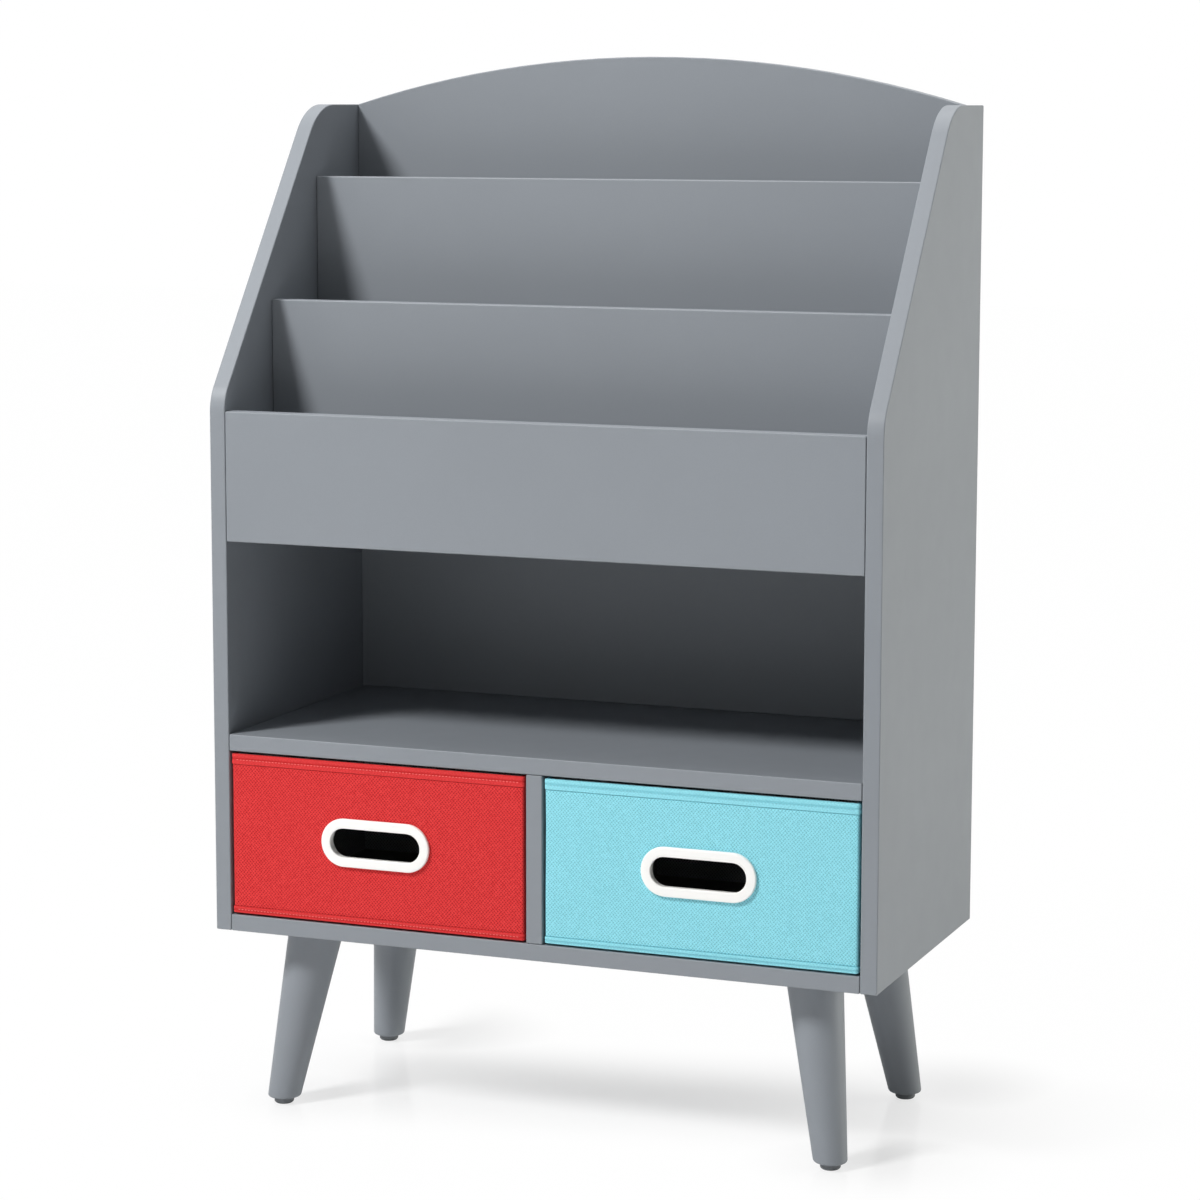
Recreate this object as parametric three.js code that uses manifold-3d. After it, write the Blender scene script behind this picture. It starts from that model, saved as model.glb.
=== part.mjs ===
// A book display rack for children: a painted case with three stepped book pockets, an open
// compartment and two fabric bins, on four splayed round legs.
// Millimetres. X runs to the right, the front faces -Y and Z is up.
// The origin is on the floor, in the middle of the rack's width and depth.

import * as THREE from 'three';
import { mergeVertices } from 'three/addons/utils/BufferGeometryUtils.js';
import Module from 'manifold-3d';

// Case
const RACK_WIDTH = 622; // over the two side panels
const BOARD = 15; // thickness of every case board
const BODY_LIFT = 165; // floor to the underside of the case

// Levels and pockets
const BIN_BAY_HEIGHT = 150; // clear height of the bins' bay
const OPEN_BAY_HEIGHT = 174; // clear height of the open compartment, under the front board
const POCKET_DEPTH = 101; // how far a book stands down behind its board
const FRONT_POCKET = 78.5; // front to back, between the boards
const MIDDLE_POCKET = 78.5;
const REAR_POCKET = 76;
const MIDDLE_RISE = 94; // top of the middle divider above the front board
const REAR_RISE = 109; // top of the rear divider above the middle divider
const ARCH_RISE = 43.5; // crown of the back panel above the side panels

// Outline of a side panel
const BEND_RISE = 11.5; // where the front edge starts to lean back, above the front board
const SIDE_RISE = 66; // flat top above the rear divider
const FLAT_TOP = 97.5; // length of the flat top, up to the corner that the round cuts off
const BEND_RADIUS = 40;
const CORNER_RADIUS = 60;

// Legs
const LEG_SIDE_INSET = 73; // outer face of the case to the leg's centre at its top
const LEG_DEPTH_INSET = 57; // front or back edge of the case to the leg's centre at its top
const LEG_TILT = 12; // degrees from upright, towards the corner
const LEG_TOP_DIAMETER = 50;
const LEG_FOOT_DIAMETER = 29.5;
const GLIDE_DIAMETER = 18;
const GLIDE_HEIGHT = 6;
const GLIDE_STEM_DIAMETER = 5;
const GLIDE_STEM_LENGTH = 14;
const PLATE_WIDTH = 64;
const PLATE_THICKNESS = 2.5;
const PLATE_CORNER = 8;
const PLATE_HOLE_DIAMETER = 5;
const PLATE_HOLE_INSET = 9; // from the plate's edges to a hole's centre
const HANGER_BOLT_DIAMETER = 8;
const HANGER_BOLT_IN_LEG = 32;

// Bins
const BIN_RECESS = 1; // face of the bin behind the case's front edges
const BIN_REAR_CLEARANCE = 6.5;
const BIN_SIDE_CLEARANCE = 1.8;
const BIN_TOP_CLEARANCE = 2.5;
const BIN_FLOOR_CLEARANCE = 0.4;
const COVER_THICKNESS = 1.2;
const LINING_THICKNESS = 1;
const CARD_THICKNESS = 2;
const BASE_CARD_THICKNESS = 3;
const CLOTH_GAP = 0.3; // between a cloth layer and what lies next to it

// Grip in the face of a bin: a stadium shape, straight in the middle with round ends
const GRIP_STRAIGHT = 61;
const GRIP_HOLE_HEIGHT = 26;
const GRIP_RING_WIDTH = 8.8;
const GRIP_RING_THICKNESS = 3;
const GRIP_RING_ROUND = 1.1;
const GRIP_COLLAR_WALL = 1.8;
const BACKING_RING_WIDTH = 7;
const BACKING_RING_THICKNESS = 1.5;
const GRIP_RAISE = 1.3; // middle of the grip above the middle of the bin's face

// Cam fittings
const CAM_DIAMETER = 15;
const CAM_FROM_END = 24; // cam's centre from the end of its board
const CAM_BOLT_DIAMETER = 6;
const CAM_SUNK = 0.3; // cam's face below the board's face
const SHELF_CAM_INSET = 50; // from the front and back edges
const BOTTOM_CAM_INSET = 110;

const FIT_GAP = 0.4; // clearance of a bolt, cam or stem all round in its hole
const HOLE_ROOF = 3; // board left over the end of a blind hole
const CUT_OVERRUN = 5; // how far a cut runs past the face that it opens
const MERGE_DISTANCE = 1e-4; // points closer than this are one corner

// Facets
const ARC_STEPS = 6; // half the facets of a round stretch of an outline
const ARCH_STEPS = 12;
const ROUND_SIDES = 12; // bolts and stems
const CAM_SIDES = 24;
const LEG_SIDES = 32;
const PLATE_ARC_STEPS = 4;

// Planes that boards share
const sideDepth = 4 * BOARD + FRONT_POCKET + MIDDLE_POCKET + REAR_POCKET;
const inner = RACK_WIDTH / 2 - BOARD; // inner face of a side panel
const outer = RACK_WIDTH / 2;
const gripProud = GRIP_RING_THICKNESS + CLOTH_GAP - BIN_RECESS;
const back = (sideDepth + gripProud) / 2;
const front = back - sideDepth;
const backFace = back - BOARD; // front face of the back panels

const caseBottom = BODY_LIFT;
const bayFloor = caseBottom + BOARD;
const shelfUnder = bayFloor + BIN_BAY_HEIGHT;
const shelfTop = shelfUnder + BOARD;
const frontBottom = shelfTop + OPEN_BAY_HEIGHT;
const frontFloorTop = frontBottom + BOARD;
const frontTop = frontFloorTop + POCKET_DEPTH;
const middleTop = frontTop + MIDDLE_RISE;
const middleFloorTop = middleTop - POCKET_DEPTH;
const middleFloorUnder = middleFloorTop - BOARD;
const rearTop = middleTop + REAR_RISE;
const rearFloorTop = rearTop - POCKET_DEPTH;
const sideTop = rearTop + SIDE_RISE;

const frontBoardBack = front + BOARD;
const middleFront = frontBoardBack + FRONT_POCKET;
const middleBack = middleFront + BOARD;
const rearFront = middleBack + MIDDLE_POCKET;
const rearBack = rearFront + BOARD;

const wasm = await Module();
wasm.setup();

// Materials
function finish(color, roughness, metalness = 0) {
  return () => new THREE.MeshStandardMaterial({ color, roughness, metalness });
}

const greyPaint = finish(0x8d9296, 0.45);
const redCloth = finish(0xd8393b, 0.9);
const blueCloth = finish(0x7fd3de, 0.9);
const liningCloth = finish(0x2e2f31, 0.95);
const card = finish(0xa98c66, 0.9);
const whitePlastic = finish(0xf2f2f0, 0.3);
const darkPlastic = finish(0x4b4e51, 0.6);
const steel = finish(0xb4b7ba, 0.35, 0.9);

const rack = new THREE.Group();

function add(name, geometry, material) {
  const mesh = new THREE.Mesh(geometry, material());
  mesh.name = name;
  rack.add(mesh);
}

// Joining and cutting
function solid(geometry) {
  const bare = geometry.clone();
  bare.deleteAttribute('normal');
  bare.deleteAttribute('uv');
  const merged = mergeVertices(bare, MERGE_DISTANCE);
  return new wasm.Manifold(new wasm.Mesh({
    numProp: 3,
    vertProperties: new Float32Array(merged.getAttribute('position').array),
    triVerts: new Uint32Array(merged.getIndex().array),
  }));
}

function geometryOf(manifold) {
  const mesh = manifold.getMesh();
  const geometry = new THREE.BufferGeometry();
  geometry.setAttribute('position', new THREE.BufferAttribute(mesh.vertProperties, 3));
  geometry.setIndex(new THREE.BufferAttribute(mesh.triVerts, 1));
  geometry.computeVertexNormals();
  return geometry;
}

function cut(geometry, tools) {
  let body = solid(geometry);
  for (const tool of tools) {
    body = body.subtract(solid(tool));
  }
  return geometryOf(body);
}

function join(...parts) {
  let body = solid(parts[0]);
  for (const part of parts.slice(1)) {
    body = body.add(solid(part));
  }
  return geometryOf(body);
}

// An outline pushed straight along one axis. The outline's own two directions are
// Y and Z along x, X and Z along y, X and Y along z.
function prism(outline, axis, low, high, steps = ARC_STEPS) {
  const geometry = new THREE.ExtrudeGeometry(outline, {
    depth: 1, bevelEnabled: false, curveSegments: steps,
  });
  const place = geometry.getAttribute('position');
  for (let i = 0; i < place.count; i += 1) {
    const u = place.getX(i);
    const v = place.getY(i);
    const far = place.getZ(i) > 0.5;
    if (axis === 'x') {
      place.setXYZ(i, far ? high : low, u, v);
    } else if (axis === 'y') {
      place.setXYZ(i, u, far ? low : high, v);
    } else {
      place.setXYZ(i, u, v, far ? high : low);
    }
  }
  return geometry;
}

function rectangle(left, right, bottom, top) {
  const shape = new THREE.Shape();
  shape.moveTo(left, bottom);
  shape.lineTo(right, bottom);
  shape.lineTo(right, top);
  shape.lineTo(left, top);
  shape.closePath();
  return shape;
}

function block(x, y, z) {
  return prism(rectangle(x[0], x[1], y[0], y[1]), 'z', z[0], z[1]);
}

// A stadium around (x, z): half circles of the given height on a straight middle
function stadium(x, z, height) {
  const half = GRIP_STRAIGHT / 2;
  const radius = height / 2;
  const shape = new THREE.Shape();
  shape.moveTo(x - half, z - radius);
  shape.lineTo(x + half, z - radius);
  shape.absarc(x + half, z, radius, -Math.PI / 2, Math.PI / 2, false);
  shape.lineTo(x - half, z + radius);
  shape.absarc(x - half, z, radius, Math.PI / 2, Math.PI * 1.5, false);
  return shape;
}

// Upright cylinder on the Z axis
function cylinder(radius, low, high, sides = ROUND_SIDES) {
  const geometry = new THREE.CylinderGeometry(radius, radius, high - low, sides);
  geometry.rotateX(Math.PI / 2);
  geometry.translate(0, 0, (low + high) / 2);
  return geometry;
}

// Cam fitting: a cam that faces out of a board, with a bolt that reaches into the side panel.
// With a gap it is the hole for the fitting, open at the board's face
function camFitting(gap) {
  const blindDepth = BOARD - HOLE_ROOF - FIT_GAP + gap;
  const camFace = gap > 0 ? -CUT_OVERRUN : CAM_SUNK;
  const cam = cylinder(CAM_DIAMETER / 2 + gap, camFace, blindDepth, CAM_SIDES);
  const bolt = cylinder(CAM_BOLT_DIAMETER / 2 + gap, 0, CAM_FROM_END + blindDepth);
  bolt.rotateY(Math.PI / 2);
  bolt.translate(0, 0, BOARD / 2);
  return join(cam, bolt);
}

// side is -1 at the left end and 1 at the right; opens is the direction that the cam faces
function placeFitting(gap, side, opens, y, z) {
  const geometry = camFitting(gap);
  const turn = new THREE.Matrix4().makeBasis(
    new THREE.Vector3(side, 0, 0),
    opens.clone().cross(new THREE.Vector3(side, 0, 0)).negate(),
    opens.clone().negate(),
  );
  geometry.applyMatrix4(turn);
  geometry.translate(side * (inner - CAM_FROM_END), y, z);
  return geometry;
}

const down = new THREE.Vector3(0, 0, -1);
const rearward = new THREE.Vector3(0, 1, 0);

const fittings = [
  { board: 'front_board', tag: 'front_board', opens: rearward, y: frontBoardBack,
    z: (frontBottom + frontTop) / 2 },
  { board: 'open_shelf', tag: 'shelf_front', opens: down, y: front + SHELF_CAM_INSET, z: shelfUnder },
  { board: 'open_shelf', tag: 'shelf_rear', opens: down, y: back - SHELF_CAM_INSET, z: shelfUnder },
  { board: 'bottom_board', tag: 'bottom_front', opens: down, y: front + BOTTOM_CAM_INSET, z: caseBottom },
  { board: 'bottom_board', tag: 'bottom_rear', opens: down, y: back - BOTTOM_CAM_INSET, z: caseBottom },
  { board: 'arched_back_panel', tag: 'back_panel', opens: rearward, y: back,
    z: (shelfTop + sideTop) / 2 },
];

function fittingHoles(board) {
  const own = fittings.filter((fitting) => fitting.board === board);
  return own.flatMap((f) => [-1, 1].map((side) => placeFitting(FIT_GAP, side, f.opens, f.y, f.z)));
}

// Legs: each has its own corner, sx to the left or right and sy to the front or back
const corners = [
  { name: 'front_left', sx: -1, sy: -1 },
  { name: 'front_right', sx: 1, sy: -1 },
  { name: 'rear_left', sx: -1, sy: 1 },
  { name: 'rear_right', sx: 1, sy: 1 },
];
const legTop = caseBottom - PLATE_THICKNESS;
const legFoot = GLIDE_HEIGHT;
const tilt = THREE.MathUtils.degToRad(LEG_TILT);

function legTopCentre({ sx, sy }) {
  const y = sy < 0 ? front + LEG_DEPTH_INSET : back - LEG_DEPTH_INSET;
  return new THREE.Vector3(sx * (outer - LEG_SIDE_INSET), y, legTop);
}

// Turns an upright piece about its own origin to lean with the leg, and puts it at the leg's top
function lean(geometry, corner) {
  const axis = new THREE.Vector3(corner.sy, -corner.sx, 0).normalize();
  const turned = geometry.clone();
  turned.applyMatrix4(new THREE.Matrix4().makeRotationAxis(axis, tilt));
  const top = legTopCentre(corner);
  turned.translate(top.x, top.y, top.z);
  return turned;
}

function footCentre(corner) {
  const top = legTopCentre(corner);
  const out = (legTop - legFoot) * Math.tan(tilt) * Math.SQRT1_2;
  return new THREE.Vector3(top.x + corner.sx * out, top.y + corner.sy * out, legFoot);
}

function hangerBolt(gap) {
  const aboveLeg = (PLATE_THICKNESS + BOARD - HOLE_ROOF - FIT_GAP) / Math.cos(tilt);
  return cylinder(HANGER_BOLT_DIAMETER / 2 + gap, -HANGER_BOLT_IN_LEG - gap, aboveLeg + gap);
}

function glideStem(gap, corner) {
  const foot = footCentre(corner);
  const high = legFoot + GLIDE_STEM_LENGTH + gap;
  const stem = cylinder(GLIDE_STEM_DIAMETER / 2 + gap, GLIDE_HEIGHT / 2, high);
  stem.translate(foot.x, foot.y, 0);
  return stem;
}

// A turned taper, made longer than the leg at both ends and then cut level at the plate and foot
function leg(corner) {
  const length = (legTop - legFoot) / Math.cos(tilt);
  const topRadius = LEG_TOP_DIAMETER / 2;
  const widening = (topRadius - LEG_FOOT_DIAMETER / 2) / length;
  const high = topRadius;
  const low = -length - LEG_FOOT_DIAMETER / 2;
  const profile = [
    new THREE.Vector2(0, low),
    new THREE.Vector2(topRadius + widening * low, low),
    new THREE.Vector2(topRadius + widening * high, high),
    new THREE.Vector2(0, high),
  ];
  const taper = new THREE.LatheGeometry(profile, LEG_SIDES);
  taper.rotateX(Math.PI / 2);
  const slab = block([-outer * 2, outer * 2], [-sideDepth * 2, sideDepth * 2], [legFoot, legTop]);
  const body = solid(lean(taper, corner)).intersect(solid(slab))
    .subtract(solid(lean(hangerBolt(FIT_GAP), corner)))
    .subtract(solid(glideStem(FIT_GAP, corner)));
  return geometryOf(body);
}

function roundedSquare(centre, width, corner) {
  const half = width / 2;
  const shape = new THREE.Shape();
  shape.moveTo(centre.x - half + corner, centre.y - half);
  shape.absarc(centre.x + half - corner, centre.y - half + corner, corner, -Math.PI / 2, 0, false);
  shape.absarc(centre.x + half - corner, centre.y + half - corner, corner, 0, Math.PI / 2, false);
  shape.absarc(centre.x - half + corner, centre.y + half - corner, corner, Math.PI / 2, Math.PI, false);
  shape.absarc(centre.x - half + corner, centre.y - half + corner, corner, Math.PI, Math.PI * 1.5, false);
  return shape;
}

function legPlate(corner) {
  const centre = legTopCentre(corner);
  const outline = roundedSquare(centre, PLATE_WIDTH, PLATE_CORNER);
  const reach = PLATE_WIDTH / 2 - PLATE_HOLE_INSET;
  for (const dx of [-reach, reach]) {
    for (const dy of [-reach, reach]) {
      const hole = new THREE.Path();
      hole.absarc(centre.x + dx, centre.y + dy, PLATE_HOLE_DIAMETER / 2, 0, Math.PI * 2, true);
      outline.holes.push(hole);
    }
  }
  const plate = prism(outline, 'z', legTop, caseBottom, PLATE_ARC_STEPS);
  return cut(plate, [lean(hangerBolt(FIT_GAP), corner)]);
}

function glide(corner) {
  const foot = footCentre(corner);
  const disc = cylinder(GLIDE_DIAMETER / 2, 0, GLIDE_HEIGHT, LEG_SIDES);
  disc.translate(foot.x, foot.y, 0);
  return join(disc, glideStem(0, corner));
}

for (const corner of corners) {
  add(`${corner.name}_leg`, leg(corner), greyPaint);
  add(`${corner.name}_leg_plate`, legPlate(corner), steel);
  add(`${corner.name}_hanger_bolt`, lean(hangerBolt(0), corner), steel);
  add(`${corner.name}_glide`, glide(corner), darkPlastic);
}

// Side panels: upright front edge, a bend, a slanted edge, a round corner and a flat top
function sideOutline() {
  const bend = new THREE.Vector2(front, frontTop + BEND_RISE);
  const corner = new THREE.Vector2(back - FLAT_TOP, sideTop);
  const slant = corner.clone().sub(bend).normalize();
  const fromUpright = Math.atan2(slant.x, slant.y);
  const bendReach = BEND_RADIUS * Math.tan(fromUpright / 2);
  const cornerTurn = Math.PI / 2 - fromUpright;
  const cornerReach = CORNER_RADIUS * Math.tan(cornerTurn / 2);
  const shape = new THREE.Shape();
  shape.moveTo(back, caseBottom);
  shape.lineTo(back, sideTop);
  shape.lineTo(corner.x + cornerReach, sideTop);
  shape.absarc(
    corner.x + cornerReach, sideTop - CORNER_RADIUS, CORNER_RADIUS,
    Math.PI / 2, Math.PI / 2 + cornerTurn, false,
  );
  shape.absarc(
    front + BEND_RADIUS, bend.y - bendReach, BEND_RADIUS, Math.PI - fromUpright, Math.PI, false,
  );
  shape.lineTo(front, caseBottom);
  shape.closePath();
  return shape;
}

function sidePanel(side) {
  const low = side < 0 ? -outer : inner;
  const high = side < 0 ? -inner : outer;
  const holes = fittings.map((f) => placeFitting(FIT_GAP, side, f.opens, f.y, f.z));
  return cut(prism(sideOutline(), 'x', low, high), holes);
}

add('left_side_panel', sidePanel(-1), greyPaint);
add('right_side_panel', sidePanel(1), greyPaint);

// Boards across the case
const across = [-inner, inner];

function archOutline() {
  const radius = (inner * inner + ARCH_RISE * ARCH_RISE) / (2 * ARCH_RISE);
  const halfAngle = Math.asin(inner / radius);
  const shape = new THREE.Shape();
  shape.moveTo(-inner, shelfTop);
  shape.lineTo(inner, shelfTop);
  shape.lineTo(inner, sideTop);
  shape.absarc(
    0, sideTop + ARCH_RISE - radius, radius,
    Math.PI / 2 - halfAngle, Math.PI / 2 + halfAngle, false,
  );
  shape.lineTo(-inner, sideTop);
  shape.closePath();
  return shape;
}

function bottomBoard() {
  const boltHoles = corners.map((corner) => lean(hangerBolt(FIT_GAP), corner));
  const board = block(across, [front, back], [caseBottom, bayFloor]);
  return cut(board, [...fittingHoles('bottom_board'), ...boltHoles]);
}

const frontBoard = block(across, [front, frontBoardBack], [frontBottom, frontTop]);
const openShelf = block(across, [front, back], [shelfUnder, shelfTop]);
const archedBack = prism(archOutline(), 'y', backFace, back, ARCH_STEPS);

add('front_board', cut(frontBoard, fittingHoles('front_board')), greyPaint);
add('middle_divider', block(across, [middleFront, middleBack], [frontBottom, middleTop]), greyPaint);
add('rear_divider', block(across, [rearFront, rearBack], [middleFloorUnder, rearTop]), greyPaint);
add('front_pocket_floor',
  block(across, [frontBoardBack, middleFront], [frontBottom, frontFloorTop]), greyPaint);
add('middle_pocket_floor',
  block(across, [middleBack, rearFront], [middleFloorUnder, middleFloorTop]), greyPaint);
add('rear_pocket_floor',
  block(across, [rearBack, backFace], [rearFloorTop - BOARD, rearFloorTop]), greyPaint);
add('arched_back_panel', cut(archedBack, fittingHoles('arched_back_panel')), greyPaint);
add('open_shelf', cut(openShelf, fittingHoles('open_shelf')), greyPaint);
add('lower_back_panel', block(across, [backFace, back], [bayFloor, shelfUnder]), greyPaint);
add('bottom_board', bottomBoard(), greyPaint);
add('bin_partition',
  block([-BOARD / 2, BOARD / 2], [front, backFace], [bayFloor, shelfUnder]), greyPaint);

for (const { tag, opens, y, z } of fittings) {
  add(`${tag}_left_cam_fitting`, placeFitting(0, -1, opens, y, z), steel);
  add(`${tag}_right_cam_fitting`, placeFitting(0, 1, opens, y, z), steel);
}

// A box made smaller on its four sides and its bottom, with its top left where it is
function inset(box, by) {
  return {
    x: [box.x[0] + by, box.x[1] - by],
    y: [box.y[0] + by, box.y[1] - by],
    z: [box.z[0] + by, box.z[1]],
  };
}

// A box that runs out past its own top, to cut a space open there
function openTop(box) {
  return block(box.x, box.y, [box.z[0], box.z[1] + CUT_OVERRUN]);
}

// Bins: a cloth cover folded over the cards at its rim, cards in the walls, a lining and a base card
function addBin(name, low, high, cloth) {
  const shell = {
    x: [low + BIN_SIDE_CLEARANCE, high - BIN_SIDE_CLEARANCE],
    y: [front + BIN_RECESS, backFace - BIN_REAR_CLEARANCE],
    z: [bayFloor + BIN_FLOOR_CLEARANCE, shelfUnder - BIN_TOP_CLEARANCE],
  };
  const cardSpace = inset(shell, COVER_THICKNESS);
  const cardOuter = inset(cardSpace, CLOTH_GAP);
  const cardInner = inset(cardOuter, CARD_THICKNESS);
  const liningOuter = inset(cardInner, CLOTH_GAP);
  const liningInner = inset(liningOuter, LINING_THICKNESS);
  const cardTop = shell.z[1] - COVER_THICKNESS - CLOTH_GAP;
  const cardBottom = cardOuter.z[0];
  const liningBottom = cardBottom;
  const insideFloor = liningBottom + LINING_THICKNESS;

  const gripX = (shell.x[0] + shell.x[1]) / 2;
  const gripZ = (shell.z[0] + shell.z[1]) / 2 + GRIP_RAISE;
  const face = shell.y[0];
  const wallBack = liningInner.y[0];
  const collarOuter = GRIP_HOLE_HEIGHT + 2 * GRIP_COLLAR_WALL;
  const cutHeight = collarOuter + 2 * FIT_GAP;
  const gripHole = stadium(gripX, gripZ, cutHeight);
  const gripCut = prism(gripHole, 'y', face - CUT_OVERRUN, wallBack + CUT_OVERRUN);

  // Cloth cover, with its rim folded in over the cards
  const cardHollow = block(cardSpace.x, cardSpace.y, [cardSpace.z[0], shell.z[1] - COVER_THICKNESS]);
  const cover = cut(block(shell.x, shell.y, shell.z), [cardHollow, openTop(cardInner), gripCut]);
  add(`${name}_bin_cover`, cover, cloth);

  // Lining
  const lining = block(liningOuter.x, liningOuter.y, [liningBottom, shell.z[1]]);
  const liningHollow = openTop({ x: liningInner.x, y: liningInner.y, z: [insideFloor, shell.z[1]] });
  add(`${name}_bin_lining`, cut(lining, [liningHollow, gripCut]), liningCloth);

  // Cards: front and rear run the full width, the side cards fit between them
  const between = [cardInner.y[0] + CLOTH_GAP, cardInner.y[1] - CLOTH_GAP];
  const tall = [cardBottom, cardTop];
  const frontCard = block(cardOuter.x, [cardOuter.y[0], cardInner.y[0]], tall);
  add(`${name}_bin_front_card`, cut(frontCard, [gripCut]), card);
  add(`${name}_bin_rear_card`, block(cardOuter.x, [cardInner.y[1], cardOuter.y[1]], tall), card);
  add(`${name}_bin_left_card`, block([cardOuter.x[0], cardInner.x[0]], between, tall), card);
  add(`${name}_bin_right_card`, block([cardInner.x[1], cardOuter.x[1]], between, tall), card);
  const baseBox = inset(liningInner, CLOTH_GAP);
  const baseLow = insideFloor + CLOTH_GAP;
  add(`${name}_bin_base_card`, block(baseBox.x, baseBox.y, [baseLow, baseLow + BASE_CARD_THICKNESS]), card);

  // Grip ring: a rounded ring on the face, with a collar through the wall
  const ringHeight = GRIP_HOLE_HEIGHT + 2 * GRIP_RING_WIDTH;
  const ringShape = stadium(gripX, gripZ, ringHeight - 2 * GRIP_RING_ROUND);
  ringShape.holes.push(stadium(gripX, gripZ, GRIP_HOLE_HEIGHT + 2 * GRIP_RING_ROUND));
  const ring = new THREE.ExtrudeGeometry(ringShape, {
    depth: GRIP_RING_THICKNESS - 2 * GRIP_RING_ROUND,
    bevelEnabled: true,
    bevelThickness: GRIP_RING_ROUND,
    bevelSize: GRIP_RING_ROUND,
    bevelSegments: 2,
    curveSegments: ARC_STEPS,
  });
  ring.rotateX(Math.PI / 2);
  ring.translate(0, face - CLOTH_GAP - GRIP_RING_ROUND, 0);
  const collarShape = stadium(gripX, gripZ, collarOuter);
  collarShape.holes.push(stadium(gripX, gripZ, GRIP_HOLE_HEIGHT));
  const ringBack = wallBack + CLOTH_GAP + BACKING_RING_THICKNESS;
  const collar = prism(collarShape, 'y', face - GRIP_RING_THICKNESS / 2, ringBack);
  add(`${name}_grip_ring`, join(ring, collar), whitePlastic);

  // Backing ring, clipped on the collar behind the lining
  const backingShape = stadium(gripX, gripZ, GRIP_HOLE_HEIGHT + 2 * BACKING_RING_WIDTH);
  backingShape.holes.push(stadium(gripX, gripZ, cutHeight));
  add(`${name}_grip_backing_ring`, prism(backingShape, 'y', wallBack + CLOTH_GAP, ringBack), whitePlastic);
}

addBin('left', -inner, -BOARD / 2, redCloth);
addBin('right', BOARD / 2, inner, blueCloth);

export default rack;
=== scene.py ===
"""A book display rack for children: a painted case on four splayed legs, with two fabric bins."""

import math
from collections import namedtuple

import bmesh
import bpy
from bmesh.types import BMEdge, BMVert
from bpy.props import FloatProperty, FloatVectorProperty, IntProperty, PointerProperty
from mathutils import Matrix, Vector, noise


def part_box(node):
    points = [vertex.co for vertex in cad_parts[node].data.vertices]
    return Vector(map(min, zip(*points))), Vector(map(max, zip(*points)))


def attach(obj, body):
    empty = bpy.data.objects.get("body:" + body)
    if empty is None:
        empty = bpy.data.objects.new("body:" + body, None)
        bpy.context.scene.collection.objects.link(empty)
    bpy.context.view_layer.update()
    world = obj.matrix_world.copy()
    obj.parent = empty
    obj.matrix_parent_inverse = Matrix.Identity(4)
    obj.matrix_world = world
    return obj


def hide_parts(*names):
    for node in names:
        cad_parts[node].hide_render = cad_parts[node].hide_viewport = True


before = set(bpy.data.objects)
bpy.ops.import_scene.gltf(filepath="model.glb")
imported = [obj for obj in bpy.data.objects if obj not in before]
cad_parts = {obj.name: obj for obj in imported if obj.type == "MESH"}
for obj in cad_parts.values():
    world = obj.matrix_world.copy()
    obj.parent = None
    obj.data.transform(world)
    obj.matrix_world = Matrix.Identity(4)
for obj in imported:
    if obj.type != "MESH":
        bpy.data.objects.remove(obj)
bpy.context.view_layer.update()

bl_info = {
    "name": "Book Display Rack",
    "version": (1, 0, 0),
    "blender": (4, 5, 0),
    "location": "View3D > Sidebar > Book Rack",
    "description": "Dresses a book display rack with painted boards, turned legs and fabric bins",
    "category": "Object",
}

MM = 0.001
CLOSE = 0.01 * MM  # points this near to each other, or to a plane, count as in one place

BOARDS = (
    "front_board", "middle_divider", "rear_divider", "front_pocket_floor", "middle_pocket_floor",
    "rear_pocket_floor", "arched_back_panel", "open_shelf", "lower_back_panel", "bottom_board",
    "bin_partition",
)
SIDE_PANELS = ("left_side_panel", "right_side_panel")
CORNERS = ("front_left", "front_right", "rear_left", "rear_right")
BINS = ("left", "right")
CAMS = ("front_board", "shelf_front", "shelf_rear", "bottom_front", "bottom_rear", "back_panel")


def from_srgb(*levels):
    """A colour written as 0 to 255 screen levels, turned linear."""
    shares = [level / 255 for level in levels]
    return tuple(s / 12.92 if s <= 0.04045 else ((s + 0.055) / 1.055) ** 2.4 for s in shares)


def lifted(tone, levels):
    """A linear colour with as many screen levels, of 255, added to each of its channels."""
    shares = [12.92 * t if t <= 0.0031308 else 1.055 * t ** (1 / 2.4) - 0.055 for t in tone]
    return from_srgb(*(min(max(share * 255 + levels, 0), 255) for share in shares))


def shade(tone, share):
    """A linear colour made darker or brighter by a share."""
    return tuple(level * share for level in tone)


def middle(node):
    """Middle of a CAD node's box."""
    low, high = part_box(node)
    return (low + high) / 2


# Settings

def length(name, description, default):
    return FloatProperty(name=name, description=description, default=default, min=0.0,
                         subtype="DISTANCE", unit="LENGTH", precision=5)


def colour(name, description, default):
    return FloatVectorProperty(name=name, description=description, default=default, size=3,
                               min=0.0, max=1.0, subtype="COLOR")


def screen_levels(name, description, default):
    return IntProperty(name=name, description=f"{description}, in screen levels of 255", default=default,
                       min=0, max=255)


def power(name, description, default):
    return FloatProperty(name=name, description=description, default=default, min=0.0,
                         subtype="POWER", unit="POWER")


class CaseSettings(bpy.types.PropertyGroup):
    paint: colour("Paint", "Colour of the painted boards and legs", from_srgb(141, 146, 152))
    board_ease: length("Board edges", "How far the edges of the cross boards are eased", 1.0 * MM)
    joint: length("Joints", "How far a cross board's ends stay clear of what they are joined to", 0.35 * MM)
    panel_ease: length("Side panel edges", "How far the edges of the side panels are eased", 1.1 * MM)
    stipple: length("Stipple", "Depth of the paint's fine roller texture", 0.04 * MM)


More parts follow.
